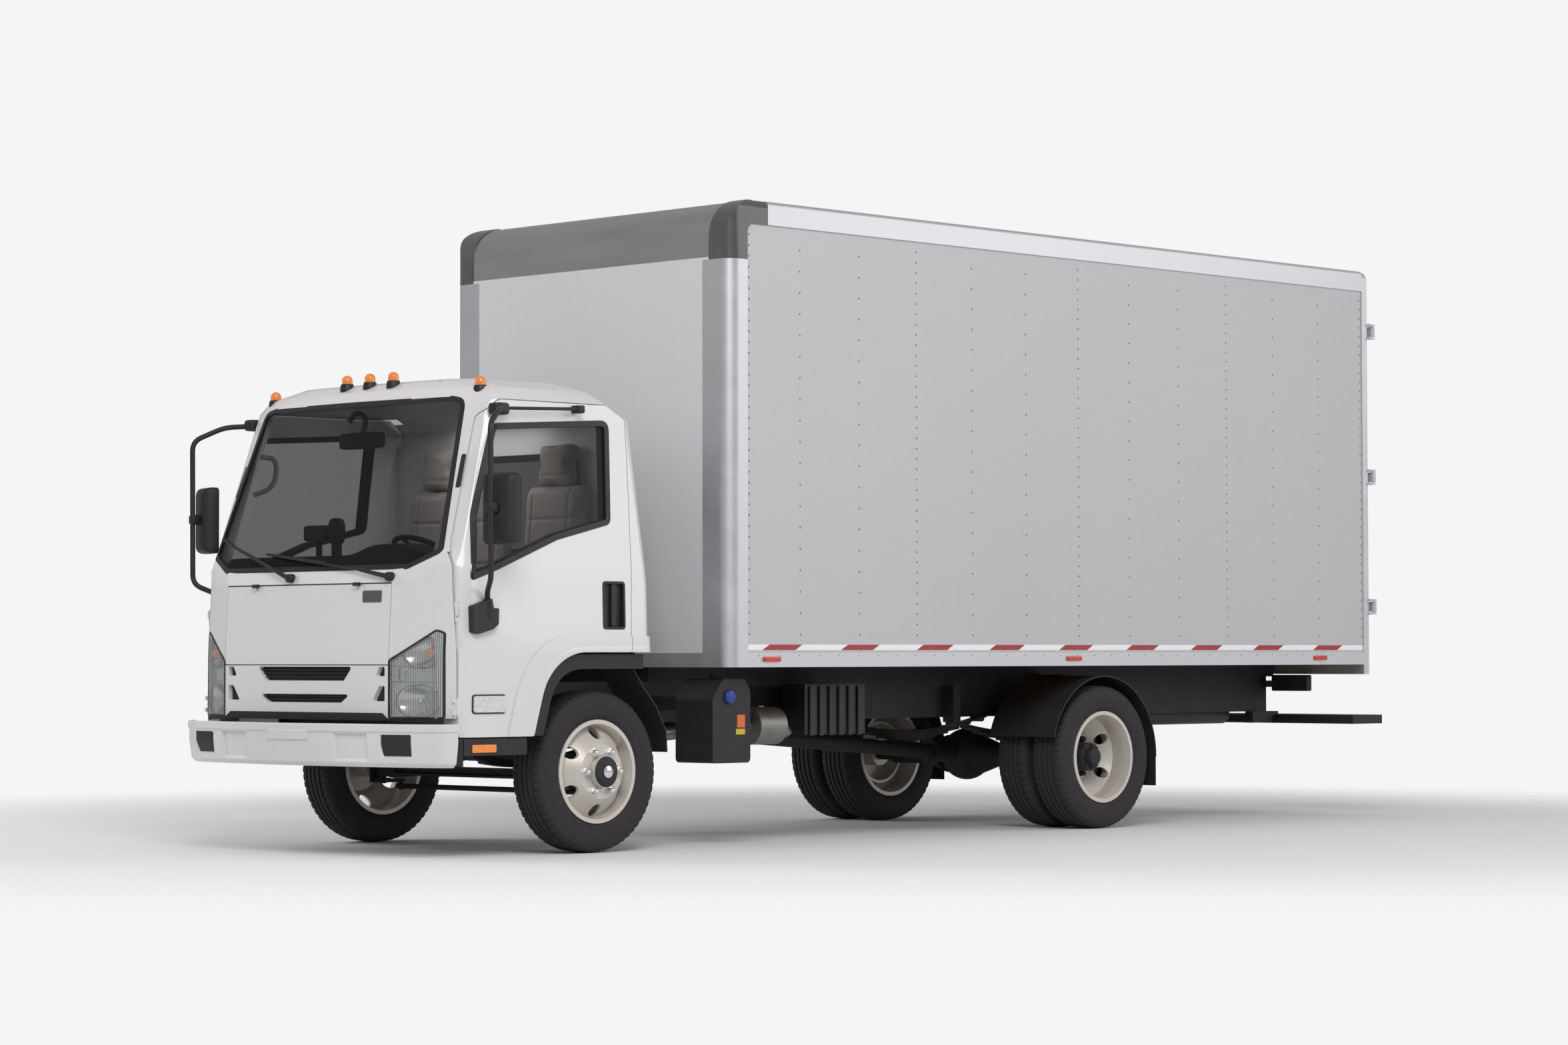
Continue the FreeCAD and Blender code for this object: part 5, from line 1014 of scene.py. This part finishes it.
mirror_tube = bar(tube_path(at([1.032, 1.032, 1.180, 1.180, 1.090, 0.955],
                               [-0.812, -0.822, -0.925, -0.930, -0.790, -0.660],
                               [1.205, 1.290, 1.362, 2.110, 2.185, 2.193])), 0.0135, 16)
foot_line = rounded([(-0.920, 1.099, 0.008), (-0.920, 1.227, 0.012), (-0.839, 1.252, 0.010),
                     (-0.798, 1.262, 0.008), (-0.789, 1.218, 0.004), (-0.754, 1.216, 0.008),
                     (-0.757, 1.139, 0.015), (-0.791, 1.115, 0.02), (-0.886, 1.091, 0.010)])
foot = plates(at(1.006, *foot_line.T)[None], (0.040, 0, 0))
socket = bar(at(1.032, [-0.812, -0.815, -0.818], [1.170, 1.225, 1.262]), 0.0225, 20)
gutter_rod = bar(at(0.990, [-0.690, -0.430, -0.170], [2.196, 2.205, 2.214]), 0.0085, 10)
clamp = lump(at(0.968, -0.690, 2.194), (0.036, 0.046, 0.030), 0.4)
end_block = lump(at(0.972, -0.170, 2.213), (0.032, 0.022, 0.020), 0.3)
head_clamp = lump(at(1.174, -0.912, 1.700), (0.022, 0.034, 0.026), 0.4)
grip = lump(at(1.0035, 0.036, 1.2375), (0.0085, 0.015, 0.1075), 0.25)
arms = together(mirror_tube, socket, gutter_rod, clamp, end_block, head_clamp, foot, grip)
for piece in both_sides("mirror_arms", arms, seal_rubber, "cab_door_{side}", replaces="door_{side}_mirror"):
    soften(piece, 0.0015)

HEAD_HALF_WIDTH, HEAD_HALF_HEIGHT, HEAD_SWING = 0.095, 0.1735, 20
head_place = at(1.165, -0.850, 1.6965)
head_line = rectangle(-HEAD_HALF_WIDTH, HEAD_HALF_WIDTH, -HEAD_HALF_HEIGHT, HEAD_HALF_HEIGHT, 0.028)
# the shell's sections: how far back each lies, and its share of the full width
shell_rings = [(-0.040, 0.55), (-0.037, 0.72), (-0.030, 0.85), (-0.018, 0.94), (-0.004, 0.985), (0.014, 1.0),
               (0.036, 0.99), (0.041, 0.965), (0.041, 0.90), (0.036, 0.885)]
line_x, line_z = head_line.T
rings = []
for y, k in shell_rings:
    ring_z = np.sign(line_z) * (np.abs(line_z) - HEAD_HALF_WIDTH * (1 - k))
    rings.append(np.stack([line_x * k, 0 * line_x + y, ring_z], axis=-1))
both_sides("mirror_head", swung(closed_loft(np.stack(rings)), HEAD_SWING, head_place), trim_plastic,
           "cab_door_{side}")
glass_x, glass_z = (head_line * (0.86, 0.92)).T
silver = plates(np.stack([glass_x, 0 * glass_x + 0.0355, glass_z], axis=-1)[None], (0, 0.003, 0))
silvered = surface("silvered_mirror_glass", ("#D0D4D6", "#DADEE0"), 80, (0.03, 0.06), slot="lamp_bowl",
                   Metallic=1.0)
both_sides("mirror_glass", swung(silver, HEAD_SWING, head_place), silvered, "cab_door_{side}")
print("mirrors hung")

# %% [markdown]
# ## Hinge covers
# The lid swings on two short hinges along its top edge, sleeved in black rubber. Each door hinge
# hides behind a pressed cover: one half on the pillar, the other on the door.

# %% Sleeves and covers
for name, x in (("right", -0.3995), ("left", 0.4005)):
    sleeve = bar(at([x - 0.023, x, x + 0.023], -1.118, 1.339), 0.0088, 16)
    add_piece("lid_hinge_sleeve_" + name, sleeve, seal_rubber, "cab")
lid_seal = bar(front_face(np.linspace(-0.640, 0.640, 33), np.full(33, 1.3415), -0.002), 0.0035, 8)
add_piece("lid_top_seal", lid_seal, seal_rubber, "cab")
for part, body, y0, y1 in (("pillar", "cab", -1.000, -0.9756), ("door", "cab_door_{side}", -0.9722, -0.945)):
    halves = [patch(np.array([(y0, z), (y1, z), (y1, z + 0.096), (y0, z + 0.096)]), left_face, 0.0009, 0.003)
              for z in (0.692, 1.152)]
    both_sides("hinge_cover_" + part, together(*halves), cab_enamel, body, smooth=False)
print("hinges covered")

# %% [markdown]
# ## Padded seats
# Each seat is foam under woven cloth: a cushion, a back and a headrest over a plain plastic base.
# A pad starts as a box with softened corners, a little smaller than the finished pad. It is
# remeshed to even quads, and Blender's cloth solver then blows it up with a gentle inner pressure,
# as foam pushes its cover out. No point may move further than a cap, so the pad keeps its shape.
# Sewn channels are pressed in afterwards: depth times exp(-(distance / width) squared).

# %% Pads blown up by the cloth solver
VOXEL = 0.008  # edge of the quads; finer ones would take the whole truck over a million triangles
FRAMES = 20
CHANNEL_WIDTH = 0.007
CUSHION_CAP, HEADREST_CAP = 0.022, 0.018  # the furthest that the pressure may push a point out


def mesh_points(mesh):
    """All vertex positions of a mesh as one array."""
    flat = np.empty(len(mesh.vertices) * 3, np.float32)
    mesh.vertices.foreach_get("co", flat)
    return flat.reshape(-1, 3).astype(float)


def settled(piece):
    """The piece as its modifiers leave it."""
    return piece.evaluated_get(bpy.context.evaluated_depsgraph_get())


def blow_up(piece, cap, pressure=4.0):
    """Cloth under inner pressure; each point's move is cut to the cap and kept."""
    mesh = piece.data
    rest = mesh_points(mesh)
    cloth = piece.modifiers.new("foam", "CLOTH")
    cloth.settings.use_pressure = True
    cloth.settings.uniform_pressure_force = pressure
    cloth.settings.effector_weights.gravity = 0.0
    cloth.point_cache.frame_end = FRAMES
    for frame_number in range(1, FRAMES + 1):
        bpy.context.scene.frame_set(frame_number)
    moved = mesh_points(settled(piece).data) - rest
    piece.modifiers.remove(cloth)
    bpy.context.scene.frame_set(1)
    length = np.linalg.norm(moved, axis=1, keepdims=True)
    new = rest + moved * np.minimum(1.0, cap / np.maximum(length, 1e-9))
    mesh.vertices.foreach_set("co", new.astype(np.float32).ravel())
    mesh.update()


def pad(name, centre, half, lean, channels, cap):
    """One pad: remeshed, blown up, given its sewn channels, leaned back about X and set in place.
    channels are (axis, position, depth) lines pressed into the pad's face on the third axis."""
    piece = add_piece(name, lump((0, 0, 0), half, 0.22), seat_cloth, "cab")
    remesh = piece.modifiers.new("even", "REMESH")
    remesh.mode, remesh.voxel_size = "VOXEL", VOXEL
    even = bpy.data.meshes.new_from_object(settled(piece))
    piece.modifiers.clear()
    piece.data = even
    blow_up(piece, cap)
    points = mesh_points(even)
    face_axis = int(np.argmin(half))
    sign = -1.0 if face_axis == 1 else 1.0
    facing = sign * points[:, face_axis] > 0.25 * half[face_axis]
    for axis, position, depth in channels:
        press = depth * np.exp(-((points[:, axis] - position) / CHANNEL_WIDTH) ** 2) * facing
        points[:, face_axis] -= sign * press
    c, s = math.cos(math.radians(lean)), math.sin(math.radians(lean))
    points = points @ np.array([[1, 0, 0], [0, c, -s], [0, s, c]]).T + at(*centre)
    even.vertices.foreach_set("co", points.astype(np.float32).ravel())
    even.polygons.foreach_set("use_smooth", np.full(len(even.polygons), True))
    rounder = piece.modifiers.new("smooth", "SUBSURF")
    rounder.levels = rounder.render_levels = 1
    return piece


# %% Three seats and their frames
SEATS = (("left", 0.480, 0.500, True), ("right", -0.440, 0.480, True), ("middle", -0.010, 0.330, False))
frame_parts = []
for seat, x, width, headed in SEATS:
    w = width / 2 - 0.018
    lines = [(0, -0.58 * w, 0.010), (0, 0.58 * w, 0.010)]
    cushion = pad("cushion_" + seat, (x, -0.190, 1.258), (w, 0.235, 0.050), 3, lines + [(1, 0.06, 0.008)],
                  CUSHION_CAP)
    pad("backrest_" + seat, (x, 0.124, 1.560), (w, 0.036, 0.315), -5,
        lines + [(2, 0.12, 0.008), (2, -0.10, 0.008)], CUSHION_CAP)
    base_x = x + (width / 2 - 0.030) * np.array([-1, 1, 1, -1])
    frame_parts.append(plates(at(base_x, [-0.400, -0.400, 0.080, 0.080], 1.106)[None], (0, 0, 0.090)))
    if headed:
        pad("headrest_" + seat, (x, 0.146, 1.962), (0.125, 0.032, 0.112), -3, [(2, -0.055, 0.006)],
            HEADREST_CAP)
        for sign in (-1, 1):
            stay = bar(at(x + sign * 0.045, [0.140, 0.144, 0.146], [1.800, 1.860, 1.900]), 0.007, 10)
            hinge = lump(at(x + sign * (width / 2 - 0.002), 0.060, 1.235), (0.020, 0.060, 0.045), 0.4)
            frame_parts += [stay, hinge]
add_piece("seat_frames", together(*frame_parts), cabin_plastic, "cab", replaces="seats")
print("seats", len(SEATS), "faces in one cushion", len(cushion.data.polygons))

# %% [markdown]
# ## Dashboard top
# A crowned black pad covers the dashboard under the windscreen, with a raised hood over the
# instruments in front of the driver. Its front edge follows the glass at every point.

# %% Pad and instrument hood
DASH_LOW, DASH_GAP = 1.400, 0.045  # the pad's lower edge, and its distance behind the glass


def dash_section(x, top):
    """One section of the pad at x: up behind the glass, over the top and down to the dashboard."""
    z = np.array([DASH_LOW, top - 0.025, top - 0.006, top, top - 0.006, top - 0.035, DASH_LOW])
    y = np.concatenate([front_y(x, z[:3]) + DASH_GAP, [-0.880, -0.790, -0.752, -0.748]])
    return at(x, y, z)


pad_x = np.concatenate([[-0.820, -0.812], np.linspace(-0.790, 0.790, 41), [0.812, 0.820]])
hood = 0.050 * np.exp(-((pad_x - 0.48) / 0.20) ** 4)
pad_top = 1.492 + hood - 0.02 * (np.abs(pad_x) > 0.80)
dash_pad = closed_loft(np.stack([dash_section(x, top) for x, top in zip(pad_x, pad_top)]))
add_piece("dash_top_pad", dash_pad, cabin_plastic, "cab")
print("dash padded")

# %% [markdown]
# ## Bumper
# The bumper is one steel pressing, bent round to each side. Its face is a grid of points: along the
# plan line, and up the height. Every feature is a depth pressed in from that face: a band under a
# crease, a tuck at the foot, two shallow pockets, two deep holes with dark backs, and a blank
# shelf that stands out in the middle. A pocket's depth rises smoothly over a slope at each edge.

# %% Bumper face with its pressed features
BUMPER_LINE = np.array([  # the face's plan line, as (x, y) points from right to left
    (-1.044, -1.000), (-1.044, -1.040), (-1.000, -1.092), (-0.840, -1.160), (-0.680, -1.190),
    (-0.353, -1.228), (-0.060, -1.250), (0.060, -1.250), (0.353, -1.228), (0.680, -1.190),
    (0.840, -1.160), (1.000, -1.092), (1.044, -1.040), (1.044, -1.000)])
BUMPER_LOW, BUMPER_TOP, BUMPER_SHEET = 0.447, 0.657, 0.006
WINDOW = 11  # points of the plan line that are averaged, which rounds its corners


def smooth(t):
    """0 below t = 0, 1 above t = 1, and 3t^2 - 2t^3 between."""
    t = np.clip(t, 0, 1)
    return t * t * (3 - 2 * t)


def pressed(x, z, box, slopes, depth):
    """Depth of a pocket over the box (x0, x1, z0, z1), with a slope width for each of its edges."""
    x0, x1, z0, z1 = box
    a, b, c, d = slopes
    return depth * smooth((x - x0) / a) * smooth((x1 - x) / b) * smooth((z - z0) / c) * smooth((z1 - z) / d)


run = np.concatenate([[0], np.cumsum(np.linalg.norm(np.diff(BUMPER_LINE, axis=0), axis=1))])
place = np.linspace(0, run[-1], 330)
plan = [np.interp(place, run, BUMPER_LINE[:, i]) for i in (0, 1)]
plan = np.stack([np.convolve(np.pad(line, WINDOW // 2, mode="edge"), np.ones(WINDOW) / WINDOW, mode="valid")
                 for line in plan], axis=1)
along = np.gradient(plan, axis=0)
inward = np.stack([-along[:, 1], along[:, 0]], axis=1) / np.linalg.norm(along, axis=1, keepdims=True)
height = np.linspace(BUMPER_LOW, BUMPER_TOP, 64)[:, None]
x, z = np.broadcast_arrays(plan[None, :, 0], height)
tuck = 0.016 * np.clip((0.5625 - z) / 0.1155, 0, 1) + 0.016 * smooth((0.476 - z) / 0.029) ** 2
band = 0.006 * smooth((0.621 - z) / 0.006)
lip = 0.006 * smooth((z - 0.650) / 0.007) ** 2
pockets = sum(pressed(s * x, z, (0.335, 0.576, 0.470, 0.612), (0.026, 0.014, 0.020, 0.006), 0.014)
              + pressed(s * x, z, (0.655, 0.850, 0.492, 0.605), (0.032, 0.008, 0.022, 0.006), 0.034)
              for s in (-1, 1))
shelf = pressed(x, z, (-0.150, 0.175, 0.573, 0.6215), (0.010, 0.010, 0.005, 0.004), 0.0072)
depth = tuck + band + lip + pockets - shelf
skin, inner = (plan[None] + inward[None] * (depth + sheet)[..., None] for sheet in (0, BUMPER_SHEET))
bumper = thick_sheet(*(at(side[..., 0], side[..., 1], z) for side in (skin, inner)))
add_piece("pressed_bumper", bumper, bumper_enamel, "chassis", replaces="front_bumper")
hole_x, hole_z = rectangle(0.678, 0.846, 0.505, 0.602, 0.012).T
hole_y = np.interp(hole_x, BUMPER_LINE[6:, 0], BUMPER_LINE[6:, 1])
hole_back = plates(at(hole_x, hole_y + 0.037, hole_z)[None], (0, 0.012, 0))
both_sides("bumper_hole_back", hole_back, trim_plastic, "chassis")
corner = at([0.880, 0.998, 1.0145, 0.900], [-1.000, -0.990, -0.957, -0.957], 0.452)
both_sides("corner_filler", plates(corner[None], (0, 0, 0.134)), trim_plastic, "chassis")
print("bumper pressed")

# %% [markdown]
# ## Wheel arch flares
# The sheet over each front wheel is drawn out into a flare: a band about 80 mm wide that rises to
# 9 mm at the arch. It runs across the door's lower rear corner and on over the cab behind it.

# %% Flares on the doors and the cab
def round_path(start, corner, end, reach, count=24):
    """A path from start to end whose corner is a quadratic curve between points at reach from it."""
    p, c, q = (np.asarray(v, float) for v in (start, corner, end))
    a = c + (p - c) * reach / np.linalg.norm(p - c)
    b = c + (q - c) * reach / np.linalg.norm(q - c)
    t = np.linspace(0, 1, count)[:, None]
    return np.concatenate([[p], (1 - t) ** 2 * a + 2 * t * (1 - t) * c + t ** 2 * b, [q]])


def flare(outer, inner, rows=10):
    """A band from an outer to an inner path that swells by 9 mm (3t^2 - 2t^3) on its way in."""
    t = np.linspace(0, 1, rows)[:, None, None]
    y, z = np.moveaxis((1 - t) * outer[None] + t * inner[None], -1, 0)
    rise = 0.0004 + 0.009 * smooth(1.4 * t[..., 0]) + 0 * y
    return thick_sheet(left_face(y, z, rise), left_face(y, z, -0.003))


OUTER_Z, INNER_Z = 1.080, 1.0045
door_flare = flare(round_path((-0.588, 0.600), (-0.466, OUTER_Z), (0.142, OUTER_Z), 0.30),
                   round_path((-0.506, 0.600), (-0.393, INNER_Z), (0.142, INNER_Z), 0.24))
cab_flare = flare(*(np.array([(y, z) for y in (0.154, 0.200, 0.243)]) for z in (OUTER_Z, INNER_Z)))
both_sides("door_flare", door_flare, cab_enamel, "cab_door_{side}")
both_sides("cab_flare", cab_flare, cab_enamel, "cab")
print("flares drawn")

# %% [markdown]
# ## Floor, light and camera
# The truck stands on a pale studio floor that fades into the backdrop. The light is a large soft
# key from the front left, a broad lamp along the left side, a fill from the front right, a small
# lamp in the cab, and a pale sky all round. The floor turns transparent with distance from the
# truck, so no horizon shows, but it keeps the shadow.

# %% Floor
FADE_START, FADE_END, FLOOR_RADIUS = 4.5, 8.5, 9.0
floor_paint = finish("matt_studio_floor", "#EDEDED", 0.9)
tree = floor_paint.node_tree
away = add_node(tree, "ShaderNodeVectorMath", [("Vector", object_place(tree))], operation="LENGTH")
fade = add_node(tree, "ShaderNodeMapRange",
                [("Value", away.outputs["Value"]), ("From Min", FADE_START), ("From Max", FADE_END)],
                interpolation_type="SMOOTHSTEP")
gone = add_node(tree, "ShaderNodeBsdfTransparent")
blend = add_node(tree, "ShaderNodeMixShader",
                 [("Fac", fade.outputs[0]), ("Shader", tree.nodes["Principled BSDF"].outputs[0]),
                  ("Shader_001", gone.outputs[0])])
tree.links.new(tree.nodes["Material Output"].inputs["Surface"], blend.outputs[0])
spin = np.linspace(0, 2 * np.pi, 96, endpoint=False)
reach = np.linspace(0.01, FLOOR_RADIUS, 24)[:, None]
disc = np.stack([reach * np.cos(spin), reach * np.sin(spin), 0 * reach * spin - 0.001], axis=-1)
floor_mesh = bpy.data.meshes.new("studio_floor")
floor_mesh.from_pydata(disc.reshape(-1, 3), [], [tuple(f) for f in grid_faces(24, 96)])
floor_mesh.materials.append(floor_paint)
floor = bpy.data.objects.new("studio_floor", floor_mesh)
bpy.context.scene.collection.objects.link(floor)
print("floor laid")

# %% Light
world = bpy.data.worlds.new("pale_studio")
bpy.context.scene.world = world
world.use_nodes = True
tree = world.node_tree
paths = add_node(tree, "ShaderNodeLightPath").outputs
seen = add_node(tree, "ShaderNodeMath",
                [("Value", paths["Is Camera Ray"]), ("Value_001", paths["Is Transmission Ray"])],
                operation="MAXIMUM")
sky_level = add_node(tree, "ShaderNodeMapRange",
                     [("Value", seen.outputs[0]), ("To Min", 0.45), ("To Max", 1.0)])
backdrop = tree.nodes["Background"]
backdrop.inputs["Color"].default_value = linear("#F5F5F5")
tree.links.new(backdrop.inputs["Strength"], sky_level.outputs[0])


def soft_light(name, place, target, size, power, glossy=True):
    """A square area lamp of a given size in metres, turned towards a point. Without glossy it
    makes no highlights."""
    lamp = bpy.data.lights.new(name, "AREA")
    lamp.size, lamp.energy = size, power
    held = bpy.data.objects.new(name, lamp)
    bpy.context.scene.collection.objects.link(held)
    held.location = place
    held.rotation_euler = (Vector(place) - Vector(target)).to_track_quat("Z", "Y").to_euler()
    held.visible_camera = False
    held.visible_glossy = glossy


soft_light("key_light", (9.0, -9.0, 9.0), (0, 0, 1.2), 6.0, 880)
soft_light("side_light", (11.0, 9.0, 6.0), (0, 1.5, 1.8), 9.0, 520)
soft_light("fill_light", (-9.0, -8.0, 6.0), (0, 0, 1.2), 6.0, 540, glossy=False)
soft_light("cabin_light", (0.0, AXLE_Y - 0.25, 2.17), (0, AXLE_Y - 0.2, 1.2), 0.7, 9, glossy=False)
print("lit")

# %% Camera
EYE = (15.107, -13.126 + AXLE_Y, 0.983)
YAW, PITCH, ROLL = (math.radians(v) for v in (44.426, 1.987, -0.0975))
camera_data = bpy.data.cameras.new("portrait_camera")
camera_data.sensor_width, camera_data.lens = 36.0, 88.35
camera_data.clip_end = 200.0
camera = bpy.data.objects.new("portrait_camera", camera_data)
bpy.context.scene.collection.objects.link(camera)
camera.matrix_world = (Matrix.Translation(EYE) @ Matrix.Rotation(YAW, 4, "Z")
                       @ Matrix.Rotation(math.pi / 2 + PITCH, 4, "X") @ Matrix.Rotation(ROLL, 4, "Z"))
bpy.context.scene.camera = camera
bpy.context.scene.view_settings.view_transform = "Standard"
print("camera placed")
